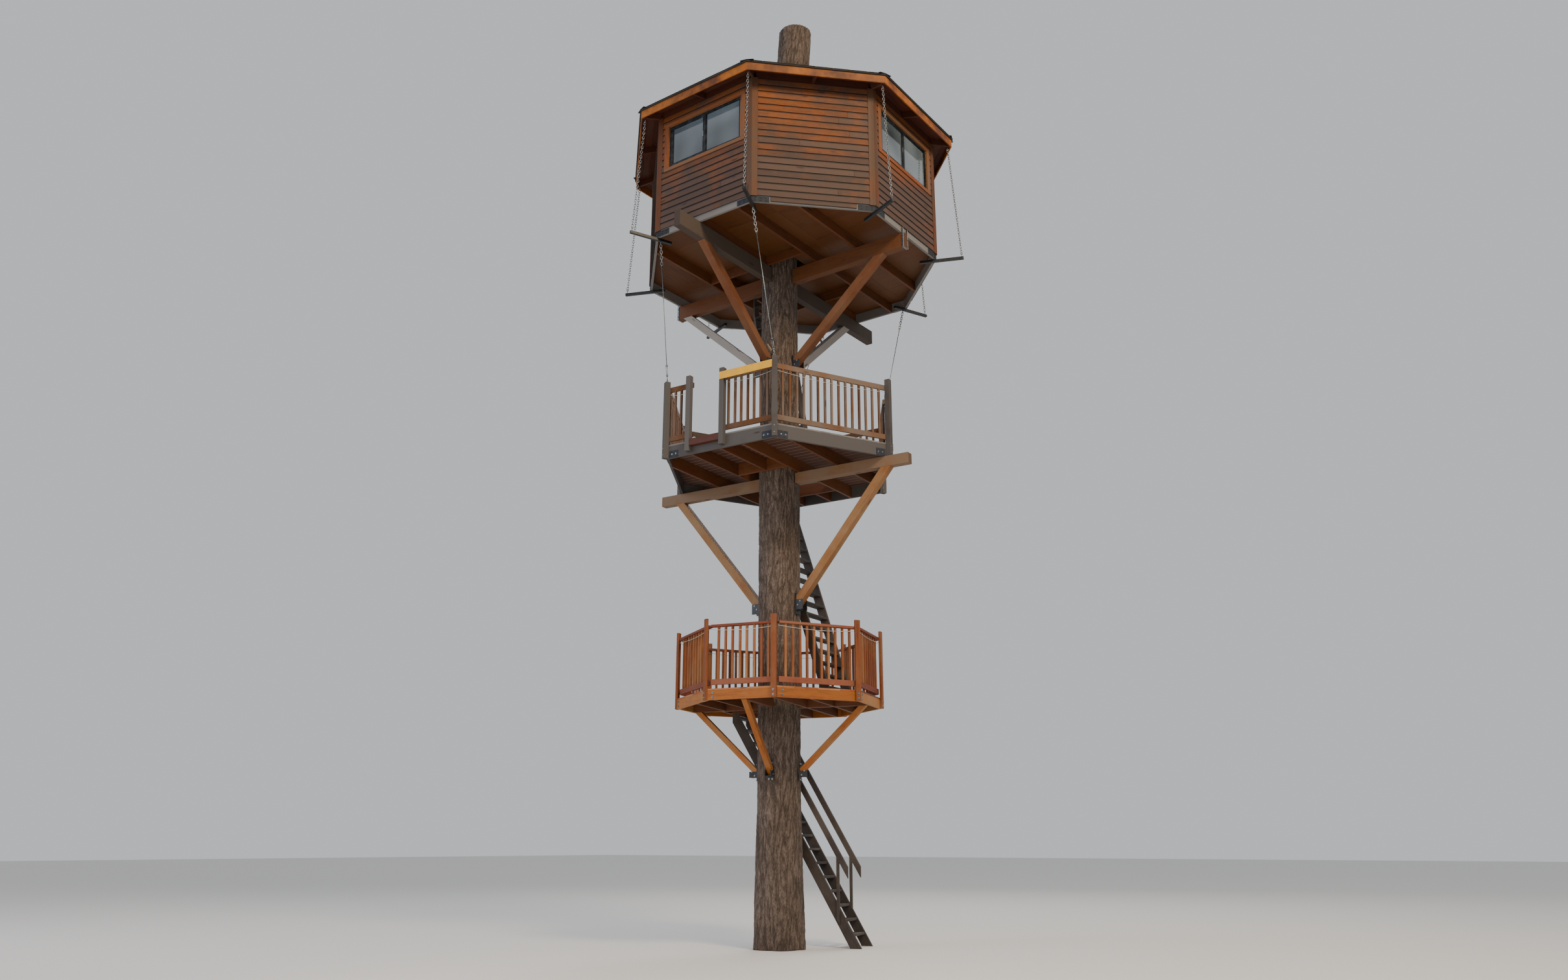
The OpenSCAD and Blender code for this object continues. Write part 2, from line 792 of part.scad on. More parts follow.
module middle_joists() {
    t = plank_t;
    xs = concat(middle_joist_at[0], MIDDLE_HATCH[0] - t / 2, hole + t / 2, middle_joist_at[1]);
    color("saddlebrown")
        at_middle()
            joist_field(MIDDLE, [0, 0], t + seat, middle_z, middle_joist_h - seat, xs, MIDDLE_HATCH);
}

module middle_decking() {
    color("gray")
        at_middle()
            floor_sheets(MIDDLE, [0, 0], 0, middle_z + middle_joist_h, deck_board_t - seat, MIDDLE_HATCH);
}

// Width of a corner post measured along the rim from the corner
post_cover = post_w / 2 / cos(hex_half);

module deck_plates() {
    color("black")
        at_middle()
            for (k = SIX)
                rim_plates(MIDDLE, k, deck_plate[0], middle_z, deck_plate[1], post_cover + 2 * plate_t);
}

rail_x = middle_span / 2 - rail_t / 2;

// Middle of the way in on side 0 and on side 2, where it starts beside the corner post
function way_at(k) = k == 0 ? front_gap_at : heel(MIDDLE, k, 0) + post_cover + bridge_gap / 2;
// Posts beside the ways in, as their side and first edge along it
WAY_POSTS = [
    [0, way_at(0) - bridge_gap / 2 - post_w], [0, way_at(0) + bridge_gap / 2], [2, way_at(2) + bridge_gap / 2]
];
// Ends of the railing bays along side k of the middle deck
function bays(k) = let (c = way_at(k), g = bridge_gap / 2,
        a = heel(MIDDLE, k, rail_t) + joint, b = tip(MIDDLE, k, rail_t) - joint)
    k == 0 ? [[a, c - g], [c + g, b]] : k == 2 ? [[c + g, b]] : [[a, b]];

// Posts cut over the corners of the rim, and posts outside the rim beside each way in
module middle_posts() {
    color("gray")
        at_middle() {
            difference() {
                for (k = SIX)
                    rotate([0, 0, 60 * k])
                        translate([post_r - post_w / 2, -post_w / 2, middle_z])
                            cube([post_w, post_w, middle_post_top - middle_z]);
                slab(MIDDLE, -seat, middle_z - 10, middle_post_top);
            }
            for (w = WAY_POSTS)
                side_block(MIDDLE, w[0], middle_span / 2 + seat, middle_span / 2 + seat + post_w,
                    w[1], w[1] + post_w, middle_z + way_post_lift, middle_post_top - middle_z - way_post_lift);
        }
}

// Boards between the posts of each way in, where a foot bridge ends against the rim
module bridge_ledgers() {
    z = middle_z + deck_plate[1] + seat;
    g = bridge_gap / 2 - joint;
    color("saddlebrown")
        at_middle()
            for (k = [0, 2])
                side_block(MIDDLE, k, middle_span / 2 + seat, middle_span / 2 + seat + post_w,
                    way_at(k) - g, way_at(k) + g, z, middle_top - seat - z);
}

// A railing panel from t0 to t1: two rails joined by balusters.
// cap is the width and the depth of the top rail.
module rail_panel(o, k, x, t0, t1, z, h, cap) {
    n = ceil((t1 - t0) / baluster_pitch);
    step = (t1 - t0) / n;
    side_block(o, k, x - cap[0] / 2, x + cap[0] / 2, t0, t1, z + h - cap[1], cap[1]);
    side_block(o, k, x - rail_t / 2, x + rail_t / 2, t0, t1, z + rail_foot, rail_w);
    // Balusters are set into both rails, a little thinner than the rails
    b = baluster_w / 2;
    for (i = [1:n - 1])
        side_block(o, k, x - b + 1, x + b - 1, t0 + i * step - b, t0 + i * step + b,
            z + rail_foot + lap, h - rail_foot - lap - cap[1] / 2);
}

module middle_railing() {
    color("rosybrown")
        at_middle()
            for (k = SIX)
                for (b = bays(k))
                    rail_panel(MIDDLE, k, rail_x, b[0], b[1], middle_top, middle_rail_h, [rail_t, rail_w]);
}

// Bare plate on the posts of the front bay
module sign_plate() {
    x = middle_span / 2 + post_w + 2 * seat;
    t = way_at(0) + bridge_gap / 2 + lap;
    color("gold")
        at_middle()
            side_block(MIDDLE, 0, x, x + sign_t, t, t + sign_size[0],
                middle_top + middle_rail_h - sign_size[1] + sign_above, sign_size[1]);
}

module landing_braces() {
    color("chocolate")
        at_landing()
            for (k = LANDING_SIDES)
                rotate([0, 0, 90 * k])
                    knee_brace(LANDING_BRACE, trunk_r);
}

module landing_rim() {
    color("chocolate")
        at_landing()
            for (k = EIGHT)
                side_board(LANDING, k, 0, plank_t, landing_z, landing_joist_h);
}

// Four arms from the trunk, joists between them and boards around the hatch
module landing_joists() {
    t = plank_t;
    z = landing_z;
    h = landing_joist_h - seat;
    a = post_w / 2 + seat;
    edge = LOWER_HATCH[0];
    color("saddlebrown")
        at_landing()
            intersection() {
                slab(LANDING, t + seat, z, h);
                union() {
                    for (k = [0:3])
                        rotate([0, 0, 90 * k])
                            translate([trunk_r + seat, -post_w / 2, z]) cube([far, post_w, h]);
                    for (x = landing_joist_at) {
                        translate([-x, -far, z]) cube([t, far - a, h]);
                        translate([x - t, -far, z]) cube([t, far - a, h]);
                        translate([x - t, a, z]) cube([t, far, h]);
                    }
                    translate([edge - t, a, z]) cube([t, far, h]);
                    for (y = [hole - t, LOWER_HATCH[2]])
                        translate([edge + seat, y, z]) cube([-a - edge - seat, t, h]);
                }
            }
}

module landing_decking() {
    color("chocolate")
        at_landing()
            floor_sheets(LANDING, [0, 0], 0, landing_z + landing_joist_h, deck_board_t - seat, LOWER_HATCH);
}

// Corner posts outside the rim of the landing deck
module landing_posts() {
    color("orangered")
        at_landing()
            for (k = EIGHT)
                side_block(LANDING, k, reach(LANDING, k) + seat, reach(LANDING, k) + seat + plank_t,
                    tip(LANDING, k, 0) - post_w - nosing, tip(LANDING, k, 0) - nosing, landing_z,
                    landing_joist_h + deck_board_t + landing_rail_h + post_above);
}

module landing_railing() {
    color("orange")
        at_landing()
            for (k = EIGHT)
                rail_panel(LANDING, k, reach(LANDING, k) - rail_w / 2, heel(LANDING, k, rail_w) + joint,
                    tip(LANDING, k, rail_w) - joint, landing_top, landing_rail_h, [rail_w, rail_t]);
}

// A stair down toward +X from z1 at x0 to z0, on the strip y0 to y1
module stair(x0, z1, z0, y0, y1, slope) {
    n = ceil((z1 - z0) / riser);
    step = (z1 - z0) / n;
    v = stringer_h / cos(slope);
    top = z1 - nosing;
    for (y = [y0, y1 - plank_t])
        translate([x0, y + plank_t, 0])
            rotate([90, 0, 0])
                linear_extrude(plank_t)
                    polygon([
                        [0, top], [0, top - v], [(top - v - z0) / tan(slope), z0], [(top - z0) / tan(slope), z0]
                    ]);
    for (i = [1:n - 1]) {
        nose = x0 + (i * step - nosing) / tan(slope);
        back = max(x0, nose - stringer_h / sin(slope) + nosing);
        translate([back, y0 + plank_t + seat, z1 - i * step - tread_t])
            cube([nose - back, y1 - y0 - 2 * plank_t - 2 * seat, tread_t]);
    }
}

// Hand rail over one side of the lower stair, on posts bolted to the outside of that side.
// y is the inner face of the posts and out is their direction, 1 or -1.
module hand_rail(x0, z1, y, out, slope, drops) {
    t = plank_t;
    y0 = out > 0 ? y : y - t;
    rise = guard_h - rail_w / cos(slope);
    climb = guard_tail * tan(slope);
    // Upper edge of the stair side at a drop below the landing
    function edge_x(d) = x0 + (d - nosing) / tan(slope);
    translate([0, y0 + t, 0])
        rotate([90, 0, 0])
            linear_extrude(t) {
                for (d = drops)
                    polygon([
                        [edge_x(d) - t, z1 - d + t * tan(slope) - guard_foot], [edge_x(d), z1 - d - guard_foot],
                        [edge_x(d), z1 - d + rise + lap], [edge_x(d) - t, z1 - d + t * tan(slope) + rise + lap]
                    ]);
                polygon([
                    [edge_x(drops[0]) - guard_tail, z1 - drops[0] + climb + rise],
                    [edge_x(drops[1]) + guard_tail, z1 - drops[1] - climb + rise],
                    [edge_x(drops[1]) + guard_tail, z1 - drops[1] - climb + guard_h],
                    [edge_x(drops[0]) - guard_tail, z1 - drops[0] + climb + guard_h]
                ]);
            }
}

module lower_stair() {
    color("dimgray")
        at_landing()
            stair(LOWER_HATCH[0] + seat, landing_top, 0, hole + hatch_room,
                LOWER_HATCH[2] - hatch_room, lower_slope);
}

// Hand rails on both sides of the lower stair, from below the deck almost to the ground
module hand_rails() {
    drops = [landing_top - landing_z + guard_h + guard_room, landing_top - guard_start];
    color("dimgray")
        at_landing()
            for (side = [[hole + hatch_room - seat, -1], [LOWER_HATCH[2] - hatch_room + seat, 1]])
                hand_rail(LOWER_HATCH[0] + seat, landing_top, side[0], side[1], lower_slope, drops);
}

module middle_stair() {
    color("dimgray")
        at_middle()
            stair(MIDDLE_HATCH[0] + seat, middle_top, landing_top, hole + hatch_room,
                MIDDLE_HATCH[2] - hatch_room, middle_slope);
}

// The upper stair runs to the back, so its strip is the width of the cabin hatch
module upper_stair() {
    color("dimgray")
        rotate([0, 0, 90])
            stair(hole + seat, room_z, middle_top, hatch_room - UPPER_HATCH[1],
                -UPPER_HATCH[0] - hatch_room, upper_slope);
}

trunk();
brace_seats();
cabin_arms();
cabin_braces();
cabin_rim();
cabin_joists();
cabin_floor();
wall_front();
wall_front_right();
wall_right();
wall_back_right();
wall_back();
wall_back_left();
wall_left();
wall_front_left();
corner_boards();
window_casings();
window_frames();
window_glass();
frieze_blocks();
roof_rafters();
roof_boards();
roof_shingles();
fascia();
corner_arms();
corner_plates();
eave_rods();
deck_hangers();
deck_plates();
middle_beams();
middle_braces();
middle_rim();
middle_joists();
middle_decking();
middle_posts();
bridge_ledgers();
middle_railing();
sign_plate();
landing_braces();
landing_rim();
landing_joists();
landing_decking();
landing_posts();
landing_railing();
lower_stair();
hand_rails();
middle_stair();
upper_stair();
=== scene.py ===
import logging
import math
import random
from dataclasses import dataclass, field
from enum import Enum
from typing import Any, Callable, Iterable

import bmesh
import bpy
from mathutils import Matrix, Vector, noise


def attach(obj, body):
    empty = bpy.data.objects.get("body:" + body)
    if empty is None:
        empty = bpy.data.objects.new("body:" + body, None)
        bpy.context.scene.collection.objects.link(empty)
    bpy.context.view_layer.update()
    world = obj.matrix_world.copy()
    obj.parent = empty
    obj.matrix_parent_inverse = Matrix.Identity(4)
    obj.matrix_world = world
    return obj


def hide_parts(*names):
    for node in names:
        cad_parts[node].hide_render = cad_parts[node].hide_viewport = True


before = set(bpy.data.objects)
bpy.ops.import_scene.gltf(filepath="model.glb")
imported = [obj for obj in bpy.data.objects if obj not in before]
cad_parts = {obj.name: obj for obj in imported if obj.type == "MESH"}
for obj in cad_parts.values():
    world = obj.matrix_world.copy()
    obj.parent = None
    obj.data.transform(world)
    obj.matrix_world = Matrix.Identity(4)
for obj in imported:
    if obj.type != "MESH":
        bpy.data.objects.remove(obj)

LOG = logging.getLogger("tree_house")
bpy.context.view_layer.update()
UP = Vector((0.0, 0.0, 1.0))


def linear(code: str) -> tuple[float, float, float, float]:
    """Turn an sRGB hex colour into linear RGBA.

    Args:
        code: The colour as "#rrggbb".

    Returns:
        The four linear channels, with full opacity.
    """
    channels = [int(code[i:i + 2], 16) / 255 for i in (1, 3, 5)]
    return (*[c / 12.92 if c <= 0.04045 else ((c + 0.055) / 1.055) ** 2.4 for c in channels], 1.0)


def add(tree: bpy.types.NodeTree, kind: str, sockets: dict[Any, Any] | None = None, **settings: Any) -> Any:
    """Add one shader node with its settings, values and links.

    Args:
        tree: The node tree that gets the node.
        kind: The node type without its "ShaderNode" prefix.
        sockets: Input name or index to a value, or to the output that feeds it.
        settings: Properties of the node.

    Returns:
        The new node.
    """
    node = tree.nodes.new("ShaderNode" + kind)
    for key, value in settings.items():
        setattr(node, key, value)
    for key, value in (sockets or {}).items():
        if isinstance(value, bpy.types.NodeSocket):
            tree.links.new(value, node.inputs[key])
        else:
            node.inputs[key].default_value = value
    return node


def ramp(tree: bpy.types.NodeTree, factor: Any, stops: Iterable[tuple[float, str]]) -> Any:
    """Add a colour ramp and return its colour output.

    Args:
        tree: The node tree that gets the ramp.
        factor: The output that drives it.
        stops: Position and hex colour of each stop, two at least.

    Returns:
        The colour socket of the ramp.
    """
    node = add(tree, "ValToRGB", {"Fac": factor})
    elements = node.color_ramp.elements
    stops = list(stops)
    while len(elements) < len(stops):
        elements.new(0.5)
    for element, (place, code) in zip(elements, stops):
        element.position = place
        element.color = linear(code)
    return node.outputs["Color"]


class Material:
    """Common start of every finish: one material, made once, with its shader node."""

    made: dict[str, bpy.types.Material] = {}

    @staticmethod
    def start(name: str) -> tuple[bpy.types.Material, bpy.types.NodeTree, Any]:
        """Make an empty node material.

        Args:
            name: The name of the real finish.

        Returns:
            The material, its node tree and its Principled shader.
        """
        material = bpy.data.materials.new(name)
        material.use_nodes = True
        tree = material.node_tree
        return material, tree, tree.nodes["Principled BSDF"]


@dataclass(frozen=True)
class TimberFinish:
    """Sawn timber with its grain along each board, knots, sun bleaching and end grain, with painted shade on faces that
    look down and below each lap where asked.
    """

    name: str
    light: str
    dark: str
    bleached: str
    bleaching: float = 0.35
    roughness: float = 0.72
    grain_mm: float = 7.0
    relief_mm: float = 0.8
    tone_spread: float = 0.45
    knots: bool = True
    exposed: tuple[float, float] = (-1.0, 0.0)
    shaded: str = "#2e2118"
    shading: float = 0.5
    board_share: float = 0.35
    lap: tuple[float, float] = (0.0, 0.0)

    def make(self) -> bpy.types.Material:
        """Build the material, or return it if it was built before."""
        if self.name in Material.made:
            return Material.made[self.name]
        material, tree, shader = Material.start(self.name)
        grain_uv = add(tree, "UVMap", uv_map="grain").outputs["UV"]
        place = add(tree, "TexCoord").outputs["Object"]
        board = add(tree, "Attribute", attribute_name="board").outputs["Color"]
        marks = add(tree, "SeparateColor", {"Color": board})
        tone, end, edge = (marks.outputs[c] for c in ("Red", "Green", "Blue"))
        across = 1000 / self.grain_mm
        lines = add(tree, "Mapping", {"Vector": grain_uv, "Scale": (across / 22, across, 1)})
        fibre = add(tree, "TexNoise", {"Vector": lines.outputs[0], "Scale": 1.0, "Detail": 5.0,
                                       "Roughness": 0.62, "Distortion": 0.35}).outputs["Fac"]
        rings = add(tree, "Mapping", {"Vector": grain_uv, "Scale": (0.9, 13, 1)})
        figure = add(tree, "TexNoise", {"Vector": rings.outputs[0], "Scale": 1.0, "Detail": 3.0,
                                        "Distortion": 0.9}).outputs["Fac"]
        mixed = add(tree, "Math", {0: fibre, 1: figure}, operation="ADD")
        half = add(tree, "Math", {0: mixed.outputs[0], 1: 0.5}, operation="MULTIPLY").outputs[0]
        colour = ramp(tree, half, [(0.36, self.dark), (0.5, self.light), (0.66, self.dark)])
        patch = add(tree, "TexNoise", {"Vector": place, "Scale": 1.7, "Detail": 6.0, "Roughness": 0.6}).outputs["Fac"]
        lifted = add(tree, "Math", {0: tone, 1: self.board_share, 2: patch}, operation="MULTIPLY_ADD").outputs[0]
        low = 0.6 + self.board_share - self.bleaching * 0.8
        # Under the eaves the stain lasts; below them rain and sun take it
        up = add(tree, "SeparateXYZ", {"Vector": place}).outputs["Z"]
        shelter = add(tree, "MapRange", {"Value": up, "From Min": self.exposed[0], "From Max": self.exposed[1],
                                         "To Min": 0.0, "To Max": 0.3 if self.exposed[0] > 0 else 0.0}).outputs[0]
        lifted = add(tree, "Math", {0: lifted, 1: shelter}, operation="SUBTRACT").outputs[0]
        sun = add(tree, "MapRange", {"Value": lifted, "From Min": low - 0.14, "From Max": low + 0.16})
        streak = add(tree, "Math", {0: sun.outputs[0], 1: fibre, 2: sun.outputs[0]}, operation="MULTIPLY_ADD")
        worn = add(tree, "Math", {0: streak.outputs[0], 1: 0.66}, operation="MULTIPLY", use_clamp=True).outputs[0]
        colour = add(tree, "MixRGB", {"Fac": worn, "Color1": colour, "Color2": linear(self.bleached)}).outputs[0]
        if self.knots:
            # Knots of 30 to 50 mm, about one for each metre of board
            spots = add(tree, "Mapping", {"Vector": grain_uv, "Scale": (1.3, 5.5, 1)})
            cell = add(tree, "TexVoronoi", {"Vector": spots.outputs[0], "Scale": 1.0}).outputs["Distance"]
            knot = add(tree, "MapRange", {"Value": cell, "From Min": 0.12, "From Max": 0.07})
            ringed = add(tree, "Math", {0: knot.outputs[0], 1: 0.75}, operation="MULTIPLY").outputs[0]
            colour = add(tree, "MixRGB", {"Fac": ringed, "Color1": colour, "Color2": linear("#2c1a10")}).outputs[0]
        value = add(tree, "MapRange", {"Value": tone, "To Min": 1 - self.tone_spread / 2,
                                       "To Max": 1 + self.tone_spread / 2}).outputs[0]
        hue = add(tree, "MapRange", {"Value": figure, "To Min": 0.492, "To Max": 0.508}).outputs[0]
        colour = add(tree, "HueSaturation", {"Hue": hue, "Value": value, "Color": colour}).outputs[0]
        # End grain and, where asked, faces that look down take the shaded colour; on those faces it is painted shade
        ends = add(tree, "Math", {0: end, 1: self.shading}, operation="MULTIPLY").outputs[0]
        colour = add(tree, "MixRGB", {"Fac": ends, "Color1": colour, "Color2": linear(self.shaded)}).outputs[0]
        if self.lap[1]:
            # Painted shade: the last 20 mm of each board, just below the lap above it, is darkened as the shadow of
            # that lap
            courses = add(tree, "Math", {0: up, 1: self.lap[0]}, operation="SUBTRACT").outputs[0]
            courses = add(tree, "Math", {0: courses, 1: self.lap[1]}, operation="DIVIDE").outputs[0]
            within = add(tree, "Math", {0: courses}, operation="FRACT").outputs[0]
            lap_shadow = add(tree, "MapRange", {"Value": within, "From Min": 0.74, "From Max": 0.9, "To Max": 0.85})
            colour = add(tree, "MixRGB", {"Fac": lap_shadow.outputs[0], "Color1": colour,
                                          "Color2": linear(self.shaded)}).outputs[0]
        eased = add(tree, "Math", {0: edge, 1: 0.35}, operation="MULTIPLY").outputs[0]
        colour = add(tree, "MixRGB", {"Fac": eased, "Color1": colour, "Color2": linear(self.bleached)}).outputs[0]
        rough = add(tree, "MapRange", {"Value": fibre, "To Min": self.roughness - 0.12,
                                       "To Max": min(0.98, self.roughness + 0.14)}).outputs[0]
        bump = add(tree, "Bump", {"Height": half, "Strength": 0.6, "Distance": self.relief_mm / 1000})
        tree.links.new(colour, shader.inputs["Base Color"])
        tree.links.new(rough, shader.inputs["Roughness"])
        tree.links.new(bump.outputs[0], shader.inputs["Normal"])
        shader.inputs["IOR"].default_value = 1.45
        Material.made[self.name] = material
        return material


@dataclass(frozen=True)
class CoatFinish:
    """A metal, paint or felt surface: two colours in blotches, a fine grit and some gloss."""

    name: str
    base: str
    second: str
    blotch_mm: float = 60.0
    grit_mm: float = 4.0
    metallic: float = 0.0
    roughness: float = 0.5
    relief_mm: float = 0.2
    ior: float = 1.5
    spread: tuple[float, float] = (0.42, 0.62)
    tone_spread: float = 0.0

    def make(self) -> bpy.types.Material:
        """Build the material, or return it if it was built before."""
        if self.name in Material.made:
            return Material.made[self.name]
        material, tree, shader = Material.start(self.name)
        place = add(tree, "TexCoord").outputs["Object"]
        blotch = add(tree, "TexNoise", {"Vector": place, "Scale": 1000 / self.blotch_mm, "Detail": 4.0}).outputs["Fac"]
        grit = add(tree, "TexNoise", {"Vector": place, "Scale": 1000 / self.grit_mm, "Detail": 2.0}).outputs["Fac"]
        level = add(tree, "Math", {0: grit, 1: 0.35, 2: blotch}, operation="MULTIPLY_ADD").outputs[0]
        level = add(tree, "Math", {0: level, 1: 0.17}, operation="SUBTRACT").outputs[0]
        colour = ramp(tree, level, [(self.spread[0], self.base), (self.spread[1], self.second)])
        if self.tone_spread:
            board = add(tree, "Attribute", attribute_name="board").outputs["Color"]
            tone = add(tree, "SeparateColor", {"Color": board}).outputs["Red"]
            value = add(tree, "MapRange", {"Value": tone, "To Min": 1 - self.tone_spread / 2,
                                           "To Max": 1 + self.tone_spread / 2}).outputs[0]
            colour = add(tree, "HueSaturation", {"Value": value, "Color": colour}).outputs[0]
        rough = add(tree, "MapRange", {"Value": level, "To Min": max(0.05, self.roughness - 0.15),
                                       "To Max": min(0.98, self.roughness + 0.15)}).outputs[0]
        bump = add(tree, "Bump", {"Height": grit, "Strength": 0.5, "Distance": self.relief_mm / 1000})
        tree.links.new(colour, shader.inputs["Base Color"])
        tree.links.new(rough, shader.inputs["Roughness"])
        tree.links.new(bump.outputs[0], shader.inputs["Normal"])
        shader.inputs["Metallic"].default_value = self.metallic
        if self.metallic < 0.5:
            shader.inputs["IOR"].default_value = self.ior
        Material.made[self.name] = material
        return material


@dataclass(frozen=True)
class BarkFinish:
    """Furrowed conifer bark: dark cracks, grey-brown plates with lighter scaly patches."""

    name: str = "furrowed fir bark"
    crack: str = "#28211d"
    plate: str = "#5c5048"
    pale: str = "#796b60"
    dust: str = "#77716a"

    def make(self) -> bpy.types.Material:
        """Build the material, or return it if it was built before."""
        if self.name in Material.made:
            return Material.made[self.name]
        material, tree, shader = Material.start(self.name)
        place = add(tree, "TexCoord").outputs["Object"]
        depth = add(tree, "Attribute", attribute_name="depth").outputs["Fac"]
        # Scales of about 15 mm across and 90 mm high on each plate, wandering with the grain
        wander = add(tree, "TexNoise", {"Vector": place, "Scale": 3.0, "Detail": 2.0}).outputs["Color"]
        bent = add(tree, "MixRGB", {"Fac": 0.04, "Color1": place, "Color2": wander}).outputs[0]
        scaly = add(tree, "Mapping", {"Vector": bent, "Scale": (95, 95, 24)})
        flake = add(tree, "TexNoise", {"Vector": scaly.outputs[0], "Scale": 1.0, "Detail": 7.0,
                                       "Roughness": 0.68}).outputs["Fac"]
        patch = add(tree, "TexNoise", {"Vector": place, "Scale": 1.3, "Detail": 5.0}).outputs["Fac"]
        lower = add(tree, "Math", {0: depth, 1: 0.26}, operation="MULTIPLY").outputs[0]
        fine = add(tree, "Math", {0: flake, 1: lower}, operation="ADD").outputs[0]
        colour = ramp(tree, fine, [(0.36, self.pale), (0.54, self.plate), (0.72, "#43382f"), (0.92, self.crack)])
        grey = add(tree, "MapRange", {"Value": patch, "From Min": 0.45, "From Max": 0.66, "To Max": 0.5})
        colour = add(tree, "MixRGB", {"Fac": grey.outputs[0], "Color1": colour, "Color2": linear(self.dust)},
                     blend_type="SOFT_LIGHT")
        bump = add(tree, "Bump", {"Height": flake, "Strength": 0.8, "Distance": 0.006}, invert=True)
        tree.links.new(colour.outputs[0], shader.inputs["Base Color"])
        tree.links.new(bump.outputs[0], shader.inputs["Normal"])
        shader.inputs["Roughness"].default_value = 0.93
        shader.inputs["IOR"].default_value = 1.45
        Material.made[self.name] = material
        return material


@dataclass(frozen=True)
class LiningFinish:
    """Horizontal lining boards inside the room, 120 mm high with a dark joint."""

    name: str = "varnished pine lining"
    light: str = "#b98a55"
    dark: str = "#8a5c31"
    board_mm: float = 120.0

    def make(self) -> bpy.types.Material:
        """Build the material, or return it if it was built before."""
        if self.name in Material.made:
            return Material.made[self.name]
        material, tree, shader = Material.start(self.name)
        place = add(tree, "TexCoord").outputs["Object"]
        height = add(tree, "SeparateXYZ", {"Vector": place}).outputs["Z"]
        course = add(tree, "Math", {0: height, 1: 1000 / self.board_mm}, operation="MULTIPLY").outputs[0]
        within = add(tree, "Math", {0: course}, operation="FRACT").outputs[0]
        lines = add(tree, "Mapping", {"Vector": place, "Scale": (3, 3, 90)})
        grain = add(tree, "TexNoise", {"Vector": lines.outputs[0], "Scale": 1.0, "Detail": 4.0}).outputs["Fac"]
        colour = ramp(tree, grain, [(0.35, self.dark), (0.62, self.light)])
        joint = add(tree, "MapRange", {"Value": within, "From Min": 0.02, "From Max": 0.07}).outputs[0]
        colour = add(tree, "MixRGB", {"Fac": joint, "Color1": linear("#1f120a"), "Color2": colour}).outputs[0]
        bump = add(tree, "Bump", {"Height": joint, "Strength": 0.8, "Distance": 0.003})
        tree.links.new(colour, shader.inputs["Base Color"])
        tree.links.new(bump.outputs[0], shader.inputs["Normal"])
        shader.inputs["Roughness"].default_value = 0.45
        shader.inputs["IOR"].default_value = 1.5
        Material.made[self.name] = material
        return material


@dataclass(frozen=True)
class GlassFinish:
    """Float glass in front of a dim room: grey blue, sharp sky reflections, faint streaks and a painted reflection of
    dark and pale patches in its colour.
    """

    name: str = "float glass pane"
    tint: str = "#8ea0ab"

    def make(self) -> bpy.types.Material:
        """Build the material, or return it if it was built before."""
        if self.name in Material.made:
            return Material.made[self.name]
        material, tree, shader = Material.start(self.name)
        place = add(tree, "TexCoord").outputs["Object"]
        film_and_reflection = add(tree, "TexNoise", {"Vector": place, "Scale": 0.8, "Detail": 2.0}).outputs["Fac"]
        rough = add(tree, "MapRange", {"Value": film_and_reflection, "To Min": 0.0, "To Max": 0.06}).outputs[0]
        # Painted reflection: the pane colour runs from dark to pale grey blue in large patches, on the same noise as
        # the streaks
        colour = ramp(tree, film_and_reflection, [(0.36, "#3c4a53"), (0.66, self.tint)])
        tree.links.new(colour, shader.inputs["Base Color"])
        tree.links.new(rough, shader.inputs["Roughness"])
        # Double glazing reflects from four faces, which one face of this IOR adds up to
        shader.inputs["IOR"].default_value = 2.1
        shader.inputs["Transmission Weight"].default_value = 0.5
        Material.made[self.name] = material
        return material


